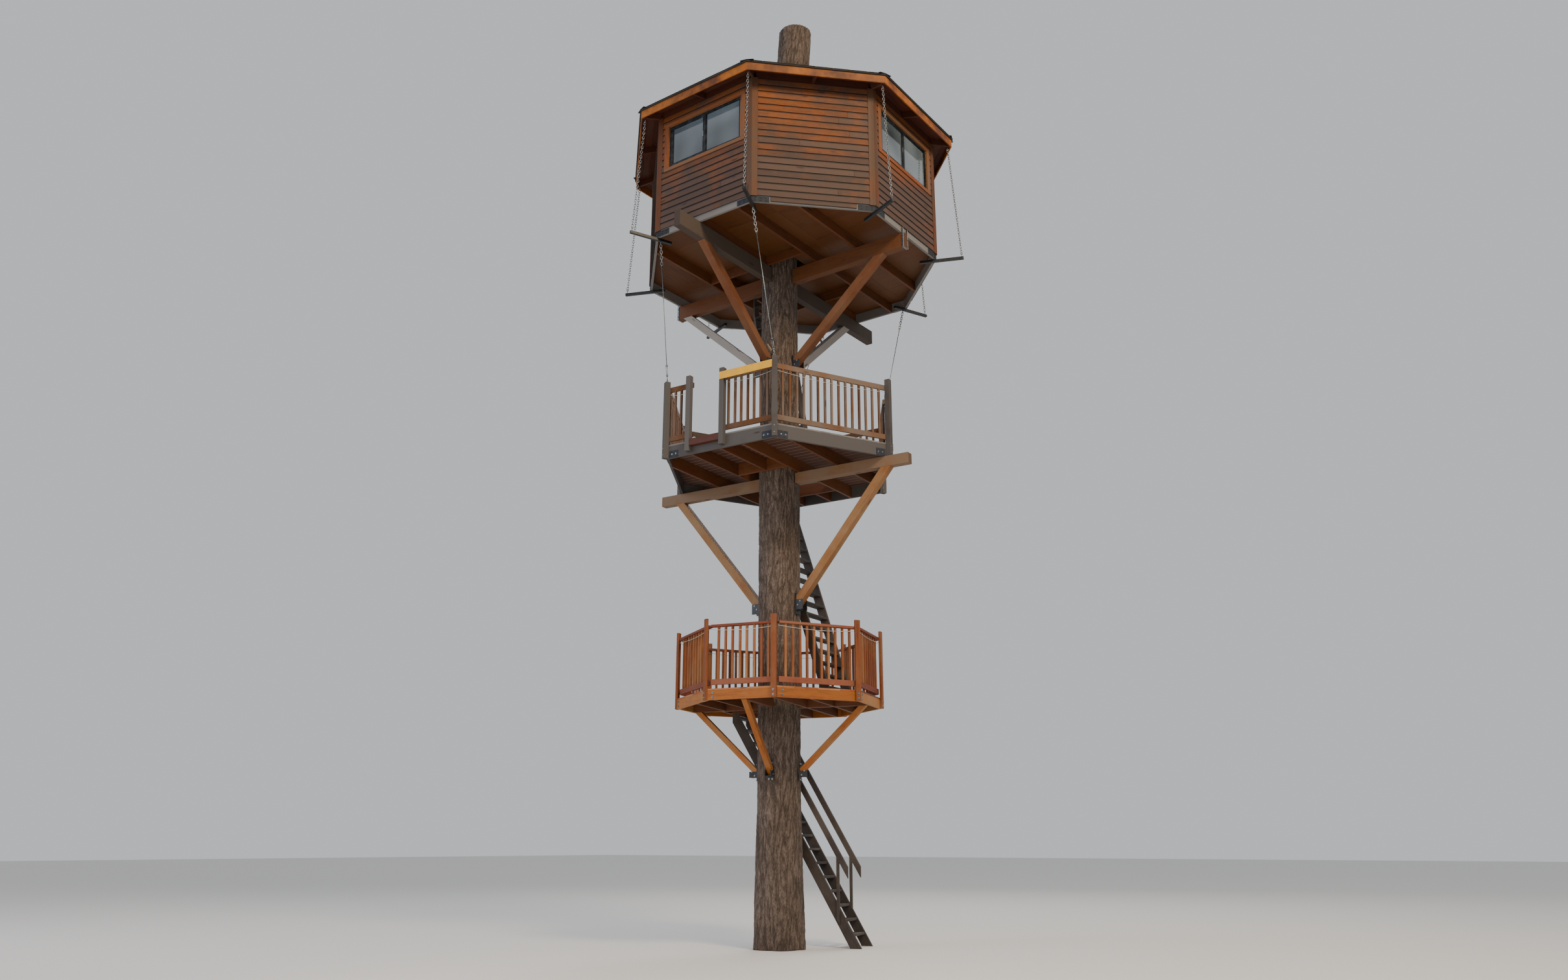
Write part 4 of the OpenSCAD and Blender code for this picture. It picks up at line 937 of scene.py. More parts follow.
@dataclass
class Cabin:
    """The octagonal room: lap siding over the walls, trim, windows and the floor seen from below."""

    line: Outline = Outline(-90, 2.55, 2.55, 45, (0.131644, 0.12276))
    siding_foot: float = 11.945
    siding_top: float = 14.222
    course: float = 0.127
    corner_w: float = 0.095
    window_w: float = 1.62
    window_z: tuple[float, float] = (13.14, 13.97)
    casing_w: float = 0.10
    casing_h: float = 0.065
    rim_z: float = 11.83
    skirt: float = 0.735
    sheet: tuple[float, float] = (1.22, 2.44)
    walls: tuple[str, ...] = ("wall_front", "wall_front_right", "wall_right", "wall_back_right",
                              "wall_back", "wall_back_left", "wall_left", "wall_front_left")

    def lap_board(self, bm: bmesh.types.BMesh, k: int, t: tuple[float, float], z: tuple[float, float]) -> None:
        """Add one lap board whose thick lower edge stands over the board below.

        Args:
            bm: The mesh of this wall's siding.
            k: The side.
            t: First and last place along the side.
            z: Bottom and top of the board.
        """
        a = self.line.reach(k)
        high = z[1] - z[0] > 0.1
        corners = [(a + (0.0085 if high else 0.006), z[0]), (a + 0.021, z[0]), (a + 0.0075, z[1]), (a + 0.0006, z[1])]
        Joinery.moulding(bm, [self.line.spot(k, out, t[0], up) for out, up in corners],
                         self.line.along(k) * (t[1] - t[0]))

    def siding(self) -> None:
        """Cover each wall with lap boards, cut round its window."""
        case = self.window_w / 2 + self.casing_w + 0.002
        low, high = self.window_z[0] - self.casing_h - 0.002, self.window_z[1] + self.casing_h + 0.002
        rng = random.Random(21)
        for k, wall in enumerate(self.walls):
            bm = bmesh.new()
            end = self.line.end(k, 0, 1) - self.corner_w - 0.001
            z = self.siding_foot
            while z < self.siding_top - 0.02:
                top = min(z + self.course + 0.026, self.siding_top)
                spans = [((-end, end), (z, top))]
                if k % 2 == 0 and top > low and z < high:
                    spans = [((-end, -case), (z, top)), ((case, end), (z, top))]
                    if z < low - 0.03:
                        spans.append(((0.001 - case, case - 0.001), (z, low)))
                    if top > high + 0.05:
                        spans.append(((0.001 - case, case - 0.001), (high, top)))
                elif rng.random() < 0.22:
                    cut = rng.uniform(-0.7, 0.7)
                    spans = [((-end, cut - 0.001), (z, top)), ((cut + 0.001, end), (z, top))]
                for t, up in spans:
                    self.lap_board(bm, k, t, up)
                z += self.course
            if k % 2:
                # Between the corner plates the lowest board hangs over the rim
                self.lap_board(bm, k, (-self.skirt, self.skirt), (self.rim_z + 0.022, self.siding_foot + 0.0255))
            # Lap faces that look down get painted shade
            Joinery.timber(bm, wall.replace("wall", "siding"), Finishes.SIDING, "siding", (), 0.0012, True)
            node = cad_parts[wall]
            node.data.materials.clear()
            node.data.materials.append(Finishes.LINING.make())

    def nails(self) -> None:
        """Nail heads in every lap board where it crosses a stud."""
        bm = bmesh.new()
        case = self.window_w / 2 + self.casing_w
        for k in self.line.sides:
            z = self.siding_foot
            while z < self.siding_top - 0.06:
                for t in (-0.93, -0.61, -0.2, 0.2, 0.61, 0.93):
                    if k % 2 == 0 and abs(t) < case and self.window_z[0] - 0.11 < z < self.window_z[1] + 0.08:
                        continue
                    place = self.line.spot(k, self.line.reach(k) + 0.0187, t, z + 0.028)
                    matrix = self.line.normal(k).to_track_quat("Z", "Y").to_matrix().to_4x4()
                    matrix.translation = place
                    bmesh.ops.create_cone(bm, cap_ends=True, segments=8, radius1=0.0048, radius2=0.004,
                                          depth=0.0014, matrix=matrix)
                z += self.course
        Joinery.show(bm, "siding_nails", Finishes.NAIL, "galvanised")

    def sashes(self) -> None:
        """The sliding sash and the fixed glazing bead of each window, the pull and the sill track."""
        sash, track = bmesh.new(), bmesh.new()
        low, high = self.window_z[0] + 0.0425, self.window_z[1] - 0.0425
        for k in (0, 2, 4, 6):
            a = self.line.reach(k)
            for t0, t1, bar, out in ((-0.767, -0.022, 0.026, (-0.028, -0.010)), (0.022, 0.767, 0.012, (-0.028, -0.019))):
                depth = (a + out[0], a + out[1])
                Joinery.block(sash, self.line, k, depth, (t0, t1), (low, low + bar))
                Joinery.block(sash, self.line, k, depth, (t0, t1), (high - bar, high))
                Joinery.block(sash, self.line, k, depth, (t0, t0 + bar), (low + bar, high - bar))
                Joinery.block(sash, self.line, k, depth, (t1 - bar, t1), (low + bar, high - bar))
            middle = (low + high) / 2
            Joinery.block(track, self.line, k, (a - 0.0098, a - 0.003), (-0.043, -0.031), (middle - 0.05, middle + 0.05))
            Joinery.block(track, self.line, k, (a - 0.0047, a + 0.008), (-0.805, 0.805),
                          (self.window_z[0] + 0.001, self.window_z[0] + 0.010))
        Joinery.ease(sash, 0.0015, 2)
        Joinery.show(sash, "window_sashes", Finishes.ALUMINIUM, "window_frame")
        Joinery.ease(track, 0.001, 2)
        Joinery.show(track, "window_tracks", Finishes.TRACK, "window_frame")

    def floor(self) -> None:
        """Plywood sheets under the joists, cut to sheet size with their joints showing."""
        bm = Joinery.cad_copy("cabin_floor")
        bm = Joinery.saw(bm, Vector((1, 0, 0)), [-1.3 + self.sheet[1] * i for i in range(-1, 3)], 0.003)
        bm = Joinery.saw(bm, Vector((0, 1, 0)), [-1.64 + self.sheet[0] * i for i in range(0, 4)], 0.003)
        Joinery.timber(bm, "floor_sheets", Finishes.PLYWOOD, "plywood", ("cabin_floor",), 0.0015)

    def bolts(self) -> None:
        """Bolts through the corner plates and the beam ends."""
        bm = bmesh.new()
        for k in self.line.sides:
            end = self.line.end(k, 0, 1)
            for t in (-end + 0.06, -end + 0.15, -end + 0.24, end - 0.24, end - 0.15, end - 0.06):
                for z in (self.rim_z + 0.028, self.rim_z + 0.072):
                    Ironmonger.bolt(bm, self.line.spot(k, self.line.reach(k) + 0.006, t, z), self.line.normal(k), 0.009)
        Joinery.show(bm, "cabin_plate_bolts", Finishes.NAIL, "galvanised")

    def build(self) -> None:
        """Dress the whole cabin below the roof."""
        self.siding()
        self.nails()
        self.sashes()
        self.floor()
        self.bolts()
        Joinery.dress("corner_boards", Finishes.TRIM, "trim", 0.002)
        Joinery.dress("window_casings", Finishes.CASING, "trim", 0.002)
        Joinery.dress("cabin_rim", Finishes.RIM, "grey_timber")
        Joinery.dress("cabin_joists", Finishes.JOIST, "dark_timber")
        Joinery.dress("frieze_blocks", Finishes.SOFFIT, "dark_timber", 0.002)
        for node, finish in (("window_frames", Finishes.ALUMINIUM), ("corner_arms", Finishes.BLACK_STEEL),
                             ("corner_plates", Finishes.PLATE_STEEL)):
            bm = Joinery.cad_copy(node)
            Joinery.ease(bm, 0.0015, 2)
            slot = "window_frame" if node == "window_frames" else "painted_steel"
            Joinery.show(bm, node + "_dressed", finish, slot, (node,))
        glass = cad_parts["window_glass"]
        glass.data.materials.clear()
        glass.data.materials.append(Finishes.GLASS.make())
        self.arms()
        self.straps()

    def straps(self) -> None:
        """Zinc straps that tie the left and right beam ends to the rim, and their bolts."""
        bm, bolts = bmesh.new(), bmesh.new()
        beam = (11.55, 11.829)
        for way, end in ((1, 2.7216), (-1, 2.4584)):
            face = self.line.even + way * self.line.centre[0]
            outer = end - 0.004
            for side in (1, -1):
                Joinery.box(bm, Vector((way * (face + 0.004), side * 0.0745, beam[0] - 0.004)),
                            Vector((way * (outer - face), 0, 0)), Vector((0, side * 0.004, 0)),
                            Vector((0, 0, beam[1] - beam[0] + 0.09)))
                for z in (beam[0] + 0.06, beam[1] - 0.06):
                    Ironmonger.bolt(bolts, Vector((way * (face + 0.02), side * 0.0785, z)), Vector((0, side, 0)), 0.01)
            Joinery.box(bm, Vector((way * (face + 0.004), -0.0785, beam[0] - 0.0045)),
                        Vector((way * (outer - face), 0, 0)), Vector((0, 0.157, 0)), Vector((0, 0, 0.004)))
        Joinery.ease(bm, 0.0008)
        Joinery.join(bm, bolts)
        Joinery.show(bm, "beam_straps", Finishes.ZINC, "galvanised")

    def arms(self) -> None:
        """Beams and braces under the cabin; front and right ones keep their stain."""
        for node, slot, finishes in (
                ("cabin_arms", "dark_timber", (Finishes.JOIST, Finishes.BROWN, Finishes.JOIST, Finishes.BROWN)),
                ("cabin_braces", "brace_timber", (Finishes.BRACE, Finishes.SILVER, Finishes.SILVER, Finishes.BRACE))):
            parts = Joinery.split(Joinery.cad_copy(node))
            names = ("right", "back", "left", "front")
            for i, part in enumerate(parts):
                middle = sum((v.co for v in part.verts), Vector()) / len(part.verts)
                side = round(math.degrees(math.atan2(middle.y, middle.x)) / 90) % 4
                Joinery.timber(part, f"{node}_{names[side]}", finishes[side], slot, (node,), 0.004)


@dataclass
class Roof:
    """Low hipped roof: shingle courses, hip caps, boards on edge below and the fascia."""

    line: Outline = Outline(-90, 2.9, 2.9, 45, (0.131644, 0.12276))
    pitch: float = math.radians(15.5)
    crown_z: float = 15.10919
    eave: float = 2.925
    ring: float = 0.455
    exposure: float = 0.145
    tab: float = 0.305
    board: float = 0.14

    def height(self, out: float) -> float:
        """Height of the shingle surface at a distance from the middle."""
        return self.crown_z - math.tan(self.pitch) * out

    def shingles(self) -> None:
        """Lay the courses of each face and cut them at the hips."""
        roof = bmesh.new()
        rng = random.Random(5)
        step = self.exposure * math.cos(self.pitch)
        for k in self.line.sides:
            face = bmesh.new()
            out, course = self.eave, 0
            while out > self.ring + 0.06:
                top = max(self.ring, out - step * 1.15)
                half = out * math.tan(math.radians(22.5)) + 0.02
                t = -half - (course % 2) * self.tab / 2
                while t < half:
                    lift = rng.uniform(0.0065, 0.009)
                    section = [(out, 0.0), (out, lift), (top, 0.0035), (top, 0.0)]
                    Joinery.moulding(face, [self.line.spot(k, a, t, self.height(a) + up) for a, up in section],
                                     self.line.along(k) * (self.tab - 0.007))
                    t += self.tab
                out -= step
                course += 1
            middle = Vector((*self.line.centre, 0))
            for way in (1, -1):
                hip = self.line.normal(k + way * 0.5)
                outward = UP.cross(hip) * way
                bmesh.ops.bisect_plane(face, geom=face.verts[:] + face.edges[:] + face.faces[:], dist=1e-6,
                                       plane_co=middle, plane_no=outward, clear_outer=True)
                open_edges = [e for e in face.edges if e.is_boundary]
                if open_edges:
                    bmesh.ops.holes_fill(face, edges=open_edges)
            Joinery.join(roof, face)
        bmesh.ops.recalc_face_normals(roof, faces=roof.faces)
        Joinery.lay_grain(roof, 3, 0.0, False)
        Joinery.show(roof, "shingle_courses", Finishes.SHINGLE, "shingle")

    def hip_caps(self) -> None:
        """Fold a row of caps over each hip."""
        bm = bmesh.new()
        fall = math.tan(self.pitch) * math.sin(math.radians(22.5))
        drop = math.tan(self.pitch) * math.cos(math.radians(22.5))
        for k in self.line.sides:
            out = self.eave / math.cos(math.radians(22.5)) - 0.01
            while out > self.ring + 0.22:
                far = out - 0.20
                ways = [(-0.12, 0.0), (0.0, 0.0), (0.12, 0.0), (0.12, 0.005), (0.0, 0.006), (-0.12, 0.005)]
                section = [self.line.spot(k + 0.5, out, t, self.crown_z - drop * out - fall * abs(t) + up + 0.009)
                           for t, up in ways]
                path = -self.line.normal(k + 0.5) * 0.20 + UP * (drop * 0.20 - 0.006)
                Joinery.moulding(bm, section, path)
                out = far + 0.055
        bmesh.ops.recalc_face_normals(bm, faces=bm.faces)
        Joinery.lay_grain(bm, 9, 0.0, False)
        Joinery.show(bm, "hip_caps", Finishes.SHINGLE, "shingle")

    def boards(self) -> None:
        """Saw each face of the roof boards into boards along the eaves."""
        bm = bmesh.new()
        centre = Vector((*self.line.centre, 0))
        for part in Joinery.split(Joinery.cad_copy("roof_boards")):
            middle = sum((v.co for v in part.verts), Vector()) / len(part.verts) - centre
            k = round((math.degrees(math.atan2(middle.y, middle.x)) + 90) / 45) % 8
            normal = self.line.normal(k)
            start = normal.dot(centre) + self.eave
            Joinery.join(bm, Joinery.saw(part, normal, [start - self.board * i for i in range(20)][::-1], 0.004))
        Joinery.timber(bm, "soffit_boards", Finishes.SOFFIT, "dark_timber", ("roof_boards",), 0.002)

    def build(self) -> None:
        """Dress the whole roof."""
        self.shingles()
        self.hip_caps()
        self.boards()
        Joinery.dress("roof_rafters", Finishes.SOFFIT, "dark_timber")
        Joinery.dress("fascia", Finishes.FASCIA, "trim")
        slab = Joinery.cad_copy("roof_shingles")
        Joinery.ease(slab, 0.004)
        Joinery.lay_grain(slab, 1, 0.0, False)
        Joinery.show(slab, "shingle_bed", Finishes.SHINGLE, "shingle", ("roof_shingles",))


@dataclass
class Hangings:
    """Chains from the cabin arms to the eaves, and the rods that carry the bridge deck."""

    line: Outline = Outline(-90, 2.55, 2.55, 45, (0.131644, 0.12276))
    arm_top: float = 11.8297
    arm_under: float = 11.7794
    foot_out: float = 3.2301
    eave_out: float = 3.0529
    eave_z: float = 14.150
    hanger_out: float = 2.6701
    post_out: float = 2.19593
    post_top: float = 9.248
    deck_turn: float = 4.0
    hung: tuple[tuple[int, int], ...] = ((0, 0), (2, 3), (3, 4), (5, 7))
    rod_r: float = 0.007

    def eaves(self) -> None:
        """A chain with an eye bolt at each end, at every corner of the cabin."""
        bm = bmesh.new()
        for k in self.line.sides:
            foot = self.line.spot(k + 0.5, self.foot_out, 0, self.arm_top)
            head = self.line.spot(k + 0.5, self.eave_out, 0, self.eave_z)
            side = self.line.along(k + 0.5)
            way = (head - foot).normalized()
            Ironmonger.rod(bm, foot - UP * 0.002, foot + way * 0.05, 0.006)
            Ironmonger.ring(bm, foot + way * 0.068, side, 0.018, 0.006)
            Ironmonger.chain(bm, foot + way * 0.08, head - way * 0.08)
            Ironmonger.ring(bm, head - way * 0.068, side, 0.018, 0.006)
            Ironmonger.rod(bm, head - way * 0.05, head, 0.006)
        Joinery.show(bm, "eave_chains", Finishes.ZINC, "galvanised", ("eave_rods",), smooth=True)

    def hangers(self) -> None:
        """A rod with a turnbuckle and a short chain at each hung corner of the deck."""
        bm = bmesh.new()
        for corner, side in self.hung:
            angle = math.radians(self.deck_turn - 60 + 60 * corner)
            foot = Vector((math.cos(angle) * self.post_out, math.sin(angle) * self.post_out, self.post_top))
            head = self.line.spot(side + 0.5, self.hanger_out, 0, self.arm_under)
            way = (head - foot).normalized()
            across = way.cross(UP).normalized()
            Ironmonger.ring(bm, foot + way * 0.026, across, 0.019, 0.007)
            Ironmonger.rod(bm, foot + way * 0.04, foot + way * 0.13, 0.008)
            for turn in (1, -1):
                shift = across * 0.014 * turn
                Ironmonger.rod(bm, foot + way * 0.12 + shift, foot + way * 0.30 + shift, 0.005)
            Ironmonger.rod(bm, foot + way * 0.29, foot + way * 0.31, 0.02)
            Ironmonger.rod(bm, foot + way * 0.11, foot + way * 0.13, 0.02)
            Ironmonger.rod(bm, foot + way * 0.30, head - way * 0.46, self.rod_r)
            Ironmonger.ring(bm, head - way * 0.445, across, 0.017, 0.006)
            Ironmonger.chain(bm, head - way * 0.43, head - way * 0.06, 0.053, 0.006)
            Ironmonger.ring(bm, head - way * 0.045, across, 0.017, 0.006)
            Ironmonger.rod(bm, head - way * 0.03, head, 0.008)
        Joinery.show(bm, "hanger_rods", Finishes.ZINC, "galvanised", ("deck_hangers",), smooth=True)

    def build(self) -> None:
        """Make all the hangings."""
        self.eaves()
        self.hangers()


@dataclass
class Railing:
    """Rails and balusters of a deck, each a board of its own."""

    line: Outline
    top_z: float
    height: float
    cap: tuple[float, float]
    inset: float
    rail_t: float = 0.038
    rail_w: float = 0.09
    foot: float = 0.06
    baluster: float = 0.038
    pitch: float = 0.135

    def bay(self, bm: bmesh.types.BMesh, bars: bmesh.types.BMesh, k: int, t0: float, t1: float) -> None:
        """Add one railing bay.

        Args:
            bm: The mesh of the rails.
            bars: The mesh of the balusters.
            k: The side.
            t0: Its first end along the side.
            t1: Its last end.
        """
        out = self.line.reach(k) - self.inset
        z = self.top_z
        Joinery.block(bm, self.line, k, (out - self.cap[0] / 2, out + self.cap[0] / 2), (t0, t1),
                      (z + self.height - self.cap[1], z + self.height))
        Joinery.block(bm, self.line, k, (out - self.rail_t / 2, out + self.rail_t / 2), (t0, t1),
                      (z + self.foot, z + self.foot + self.rail_w))
        count = math.ceil((t1 - t0) / self.pitch - 1e-6)
        half = self.baluster / 2 - 0.001
        rng = random.Random(k * 17 + count)
        for i in range(1, count):
            t = t0 + i * (t1 - t0) / count + rng.uniform(-0.004, 0.004)
            Joinery.block(bars, self.line, k, (out - half, out + half), (t - half, t + half),
                          (z + self.foot + 0.01, z + self.height - self.cap[1] / 2))


    def wire(self, name: str, bays: list[tuple[int, float, float]], out: float, drop: float, sag: float) -> None:
        """Hang a thin slack wire from post to post below the top rail.

        Args:
            name: Name of the piece.
            bays: Side, start and end of every bay.
            out: Distance from the side of the deck, outward.
            drop: How far its ends are below the top rail.
            sag: How far its middle hangs below its ends.
        """
        bm = bmesh.new()
        for k, t0, t1 in bays:
            a = self.line.reach(k) + out
            marks = [t0 + (t1 - t0) * i / 8 for i in range(9)]
            points = [self.line.spot(k, a, t, self.top_z + self.height - drop - sag * (1 - (i / 4 - 1) ** 2))
                      for i, t in enumerate(marks)]
            for p, q in zip(points, points[1:]):
                Ironmonger.rod(bm, p, q, 0.0035, 6)
        Joinery.show(bm, name, Finishes.WIRE, "galvanised", smooth=True)


@dataclass
class BridgeDeck:
    """The six-sided deck that the bridges reach: framing, boards, posts, railing and the bare plate."""

    line: Outline = Outline(-86, 1.88, 1.88, 60)
    rim: tuple[float, float] = (7.86, 8.075)
    top_z: float = 8.103
    gap: float = 0.60
    front_at: float = -0.26
    post_cover: float = 0.05196
    board: float = 0.14

    def bays(self) -> list[tuple[int, float, float]]:
        """Side, start and end of every railing bay."""
        found = []
        for k in self.line.sides:
            a, b = self.line.end(k, 0.038, -1) + 0.0015, self.line.end(k, 0.038, 1) - 0.0015
            if k == 0:
                found += [(k, a, self.front_at - self.gap / 2), (k, self.front_at + self.gap / 2, b)]
            elif k == 2:
                found.append((k, self.line.end(k, 0, -1) + self.post_cover + self.gap, b))
            else:
                found.append((k, a, b))
        return found

    def railing(self) -> None:
        """Rails and balusters, weathered brown and grey."""
        maker = Railing(self.line, self.top_z, 1.045, (0.038, 0.09), 0.019)
        maker.wire("deck_wire", self.bays(), 0.006, 0.13, 0.05)
        rails, bars = bmesh.new(), bmesh.new()
        for k, t0, t1 in self.bays():
            maker.bay(rails, bars, k, t0, t1)
        Joinery.timber(rails, "deck_rails", Finishes.RAIL, "grey_timber", ("middle_railing",), 0.003)
        Joinery.timber(bars, "deck_balusters", Finishes.RAIL, "grey_timber", ("middle_railing",), 0.002)

    def boards(self) -> None:
        """Deck boards laid across the joists."""
        across = self.line.normal(0)
        bm = Joinery.saw(Joinery.cad_copy("middle_decking"), across, [self.board * i for i in range(-14, 15)], 0.005)
        # Faces of the boards that look down get painted shade
        Joinery.timber(bm, "deck_boards", Finishes.DECKING, "grey_timber", ("middle_decking",), 0.003, True)

    def ironwork(self) -> None:
        """Deck screws, corner plates, their bolts and the bolts of the brackets on the beams."""
        Ironmonger.screws("deck_screws", self.line, self.top_z, (-1.28, -0.5925, 0.4425, 1.2), self.board,
                          (-0.57, 0.39, 1.24))
        plates = Joinery.cad_copy("deck_plates")
        Joinery.ease(plates, 0.0012, 2)
        Joinery.show(plates, "deck_plates_dressed", Finishes.PLATE_STEEL, "painted_steel", ("deck_plates",))
        bm = bmesh.new()
        for k in self.line.sides:
            end = self.line.end(k, 0, 1)
            for t in (-end + 0.12, -end + 0.20, end - 0.20, end - 0.12):
                place = self.line.spot(k, self.line.reach(k) + 0.006, t, self.rim[0] + 0.0625)
                Ironmonger.bolt(bm, place, self.line.normal(k), 0.012)
            for z in (self.rim[0] + 0.06, self.rim[1] - 0.04):
                reach = self.line.reach(k) / math.cos(math.radians(30)) + 0.07
                Ironmonger.bolt(bm, self.line.spot(k + 0.5, reach, 0, z), self.line.normal(k + 0.5), 0.012)
        Joinery.show(bm, "deck_bolts", Finishes.ZINC, "galvanised")

    def build(self) -> None:
        """Dress the whole deck."""
        self.railing()
        self.boards()
        self.ironwork()
        Joinery.dress("middle_rim", Finishes.GREY, "grey_timber")
        Joinery.dress("middle_joists", Finishes.JOIST, "dark_timber")
        Joinery.dress("middle_posts", Finishes.GREY, "grey_timber")
        Joinery.dress("bridge_ledgers", Finishes.SOFFIT, "dark_timber")
        Joinery.dress("middle_beams", Finishes.DULL, "dark_timber", 0.004)
        Joinery.dress("middle_braces", Finishes.TAN, "brace_timber", 0.004)
        plate = Joinery.cad_copy("sign_plate")
        Joinery.ease(plate, 0.002, 2)
        Joinery.show(plate, "bare_plate", Finishes.YELLOW, "yellow_paint", ("sign_plate",))


@dataclass
class LandingDeck:
    """The small eight-sided deck at the top of the first stair, of newer cedar."""

    line: Outline = Outline(-75, 1.615, 1.559, 45)
    rim: tuple[float, float] = (3.77, 3.92)
    top_z: float = 3.948
    board: float = 0.14

    def railing(self) -> None:
        """Rails and balusters of red-stained cedar."""
        maker = Railing(self.line, self.top_z, 1.02, (0.09, 0.038), 0.045)
        ends = [(k, self.line.end(k, 0.05, -1), self.line.end(k, 0.05, 1)) for k in self.line.sides]
        maker.wire("landing_wire", ends, -0.012, 0.075, 0.035)
        rails, bars = bmesh.new(), bmesh.new()
        for k in self.line.sides:
            maker.bay(rails, bars, k, self.line.end(k, 0.09, -1) + 0.0015, self.line.end(k, 0.09, 1) - 0.0015)
        Joinery.timber(rails, "landing_rails", Finishes.RED_CEDAR, "new_cedar", ("landing_railing",), 0.003)
        Joinery.timber(bars, "landing_balusters", Finishes.BROWN_CEDAR, "new_cedar", ("landing_railing",), 0.002)

    def bolts(self) -> None:
        """Pairs of square bolt heads where the posts meet the rim."""
        bm = bmesh.new()
        for k in self.line.sides:
            out = self.line.reach(k)
            end = self.line.end(k, 0, 1)
            for z in (self.rim[0] + 0.04, self.rim[1] - 0.035):
                Ironmonger.bolt(bm, self.line.spot(k, out + 0.0453, end - 0.05, z), self.line.normal(k), 0.016)
                Ironmonger.bolt(bm, self.line.spot(k, out, -end + 0.09, z), self.line.normal(k), 0.016, Head.SQUARE)
        Joinery.show(bm, "landing_bolts", Finishes.ZINC, "galvanised")
        Ironmonger.screws("landing_screws", self.line, self.top_z, (-0.9775, -0.4975, 0.0, 0.4975, 0.9775),
                          self.board, (-1.04, -0.08, 1.09))

    def build(self) -> None:
        """Dress the whole landing."""
        self.railing()
        self.bolts()
        across = self.line.normal(0)
        bm = Joinery.saw(Joinery.cad_copy("landing_decking"), across, [self.board * i for i in range(-12, 13)], 0.005)
        # Faces of the boards that look down get painted shade
        Joinery.timber(bm, "landing_boards", Finishes.LANDING, "new_cedar", ("landing_decking",), 0.003, True)
        Joinery.dress("landing_rim", Finishes.CEDAR, "new_cedar")
        Joinery.dress("landing_joists", Finishes.JOIST, "new_cedar")
        Joinery.dress("landing_posts", Finishes.BROWN_CEDAR, "new_cedar")
        Joinery.dress("landing_braces", Finishes.CEDAR, "new_cedar", 0.004)


@dataclass
class Stairs:
    """Three dark stairs and the hand rails of the first."""

    flights: tuple[str, ...] = ("lower_stair", "middle_stair", "upper_stair", "hand_rails")

    def build(self) -> None:
        """Dress each flight as it is in the CAD model."""
        for flight in self.flights:
            Joinery.dress(flight, Finishes.STAIR, "stair_timber")


@dataclass
class Seats:
    """Steel seats of the braces, with two bolts through each cheek."""

    top_r: float = 0.34
    trunk_r: float = 0.365

    def build(self) -> None:
        """Dress the seats and bolt the braces to them."""
        bm = Joinery.cad_copy("brace_seats")
        Joinery.ease(bm, 0.0015, 2)
        Joinery.show(bm, "brace_seats_dressed", Finishes.BLACK_STEEL, "painted_steel", ("brace_seats",))
        bolts = bmesh.new()
        feet = [(90 * i, 9.95, 0.34, 0.078) for i in range(4)]
        feet += [(4 + 180 * i, 5.54, 0.365, 0.078) for i in range(2)]
        feet += [(15 + 90 * i, 2.73, 0.365, 0.053) for i in (0, 2, 3)]
        for angle, z, shaft, side in feet:
            out = Vector((math.cos(math.radians(angle)), math.sin(math.radians(angle)), 0))
            across = UP.cross(out)
            for way in (1, -1):
                for lift, reach in ((-0.045, 0.05), (0.02, 0.10)):
                    place = out * (shaft + reach) + across * (side + 0.0003) * way + UP * (z + lift)
                    Ironmonger.bolt(bolts, place, across * way, 0.012)
                for lift in (-0.12, 0.13):
                    place = out * (shaft + 0.0165) + across * (side * 0.55) * way + UP * (z + lift)
                    Ironmonger.bolt(bolts, place, out, 0.014)
        Joinery.show(bolts, "seat_bolts", Finishes.ZINC, "galvanised")


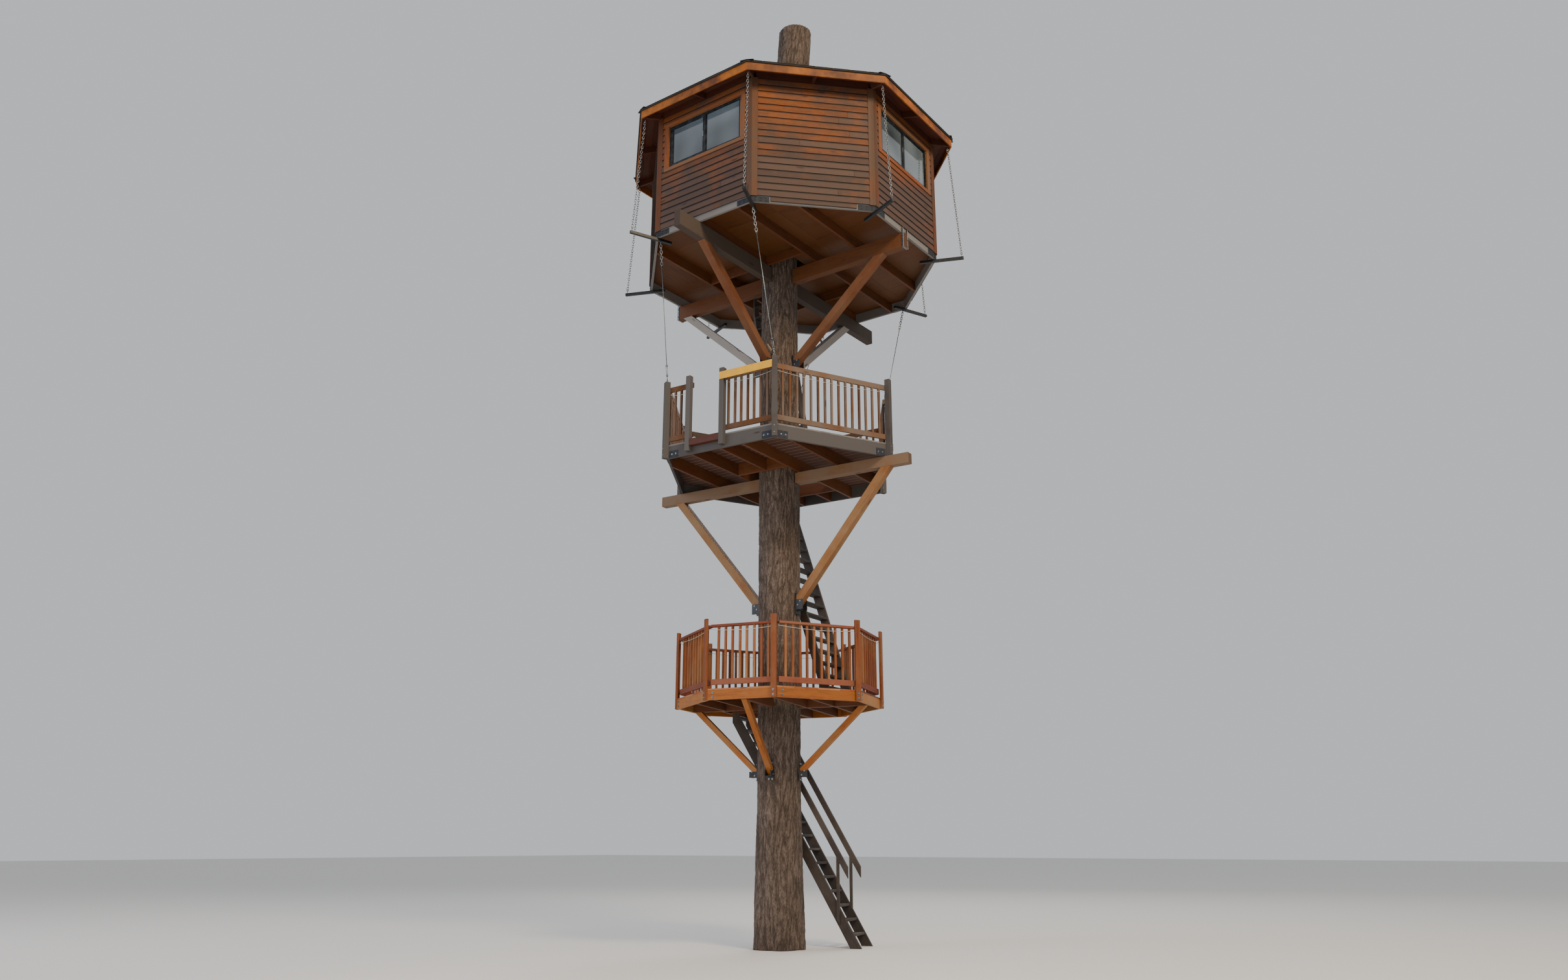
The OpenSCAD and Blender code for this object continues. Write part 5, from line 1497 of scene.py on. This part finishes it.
@dataclass
class Studio:
    """Pale floor, soft lights and the camera where the photograph was taken from."""

    eye: tuple[float, float, float] = (11.792, -16.156, 1.6)
    aim: tuple[float, float, float] = (0.1, 0.0, 7.6)
    lens: float = 27.0

    def floor(self) -> None:
        """A plain pale floor under everything."""
        bm = bmesh.new()
        bmesh.ops.create_grid(bm, x_segments=1, y_segments=1, size=120)
        mesh = bpy.data.meshes.new("studio_floor")
        bm.to_mesh(mesh)
        bm.free()
        sheet = bpy.data.objects.new("studio_floor", mesh)
        bpy.context.scene.collection.objects.link(sheet)
        material, _, shader = Material.start("pale studio floor")
        shader.inputs["Base Color"].default_value = linear("#d9d7d3")
        shader.inputs["Roughness"].default_value = 0.9
        mesh.materials.append(material)

    def light(self, name: str, place: tuple[float, float, float], target: tuple[float, float, float],
              size: float, watts: float, colour: str) -> None:
        """Add one square soft light.

        Args:
            name: Its name.
            place: Where it stands.
            target: What it points at.
            size: Side of the light.
            watts: Its power.
            colour: Its hex colour.
        """
        data = bpy.data.lights.new(name, "AREA")
        data.size = size
        data.energy = watts
        data.color = linear(colour)[:3]
        lamp = bpy.data.objects.new(name, data)
        lamp.location = place
        lamp.visible_camera = False
        lamp.rotation_euler = (Vector(target) - Vector(place)).to_track_quat("-Z", "Y").to_euler()
        bpy.context.scene.collection.objects.link(lamp)

    def build(self) -> None:
        """Set up floor, lights, world and camera."""
        self.floor()
        self.light("key", (17, -7, 20), (0, 0, 9), 5, 3900, "#ffe3bd")
        self.light("fill", (-13, -17, 12), (0, 0, 9), 12, 1500, "#e3ecff")
        self.light("rim", (-6, 16, 20), (0, 0, 10), 9, 1700, "#ffffff")
        self.light("bounce", (4, -9, 3.5), (0, 0, 9), 8, 400, "#ffeedd")
        world = bpy.data.worlds.new("studio")
        world.use_nodes = True
        background = world.node_tree.nodes["Background"]
        background.inputs["Color"].default_value = linear("#e6e9ee")
        background.inputs["Strength"].default_value = 0.75
        bpy.context.scene.world = world
        data = bpy.data.cameras.new("photo_eye")
        data.sensor_width = 36
        data.lens = self.lens
        data.clip_end = 500
        eye = bpy.data.objects.new("photo_eye", data)
        eye.location = self.eye
        eye.rotation_euler = (Vector(self.aim) - Vector(self.eye)).to_track_quat("-Z", "Y").to_euler()
        bpy.context.scene.collection.objects.link(eye)
        bpy.context.scene.camera = eye


def main() -> None:
    """Build the studio and every sub-assembly, and note the size of the result."""
    logging.basicConfig(level=logging.INFO, format="%(message)s")
    for part in (Studio(), Trunk(), Cabin(), Roof(), Hangings(), BridgeDeck(), LandingDeck(), Stairs(), Seats()):
        LOG.info("building %s", type(part).__name__)
        part.build()


if __name__ == "__main__":
    main()
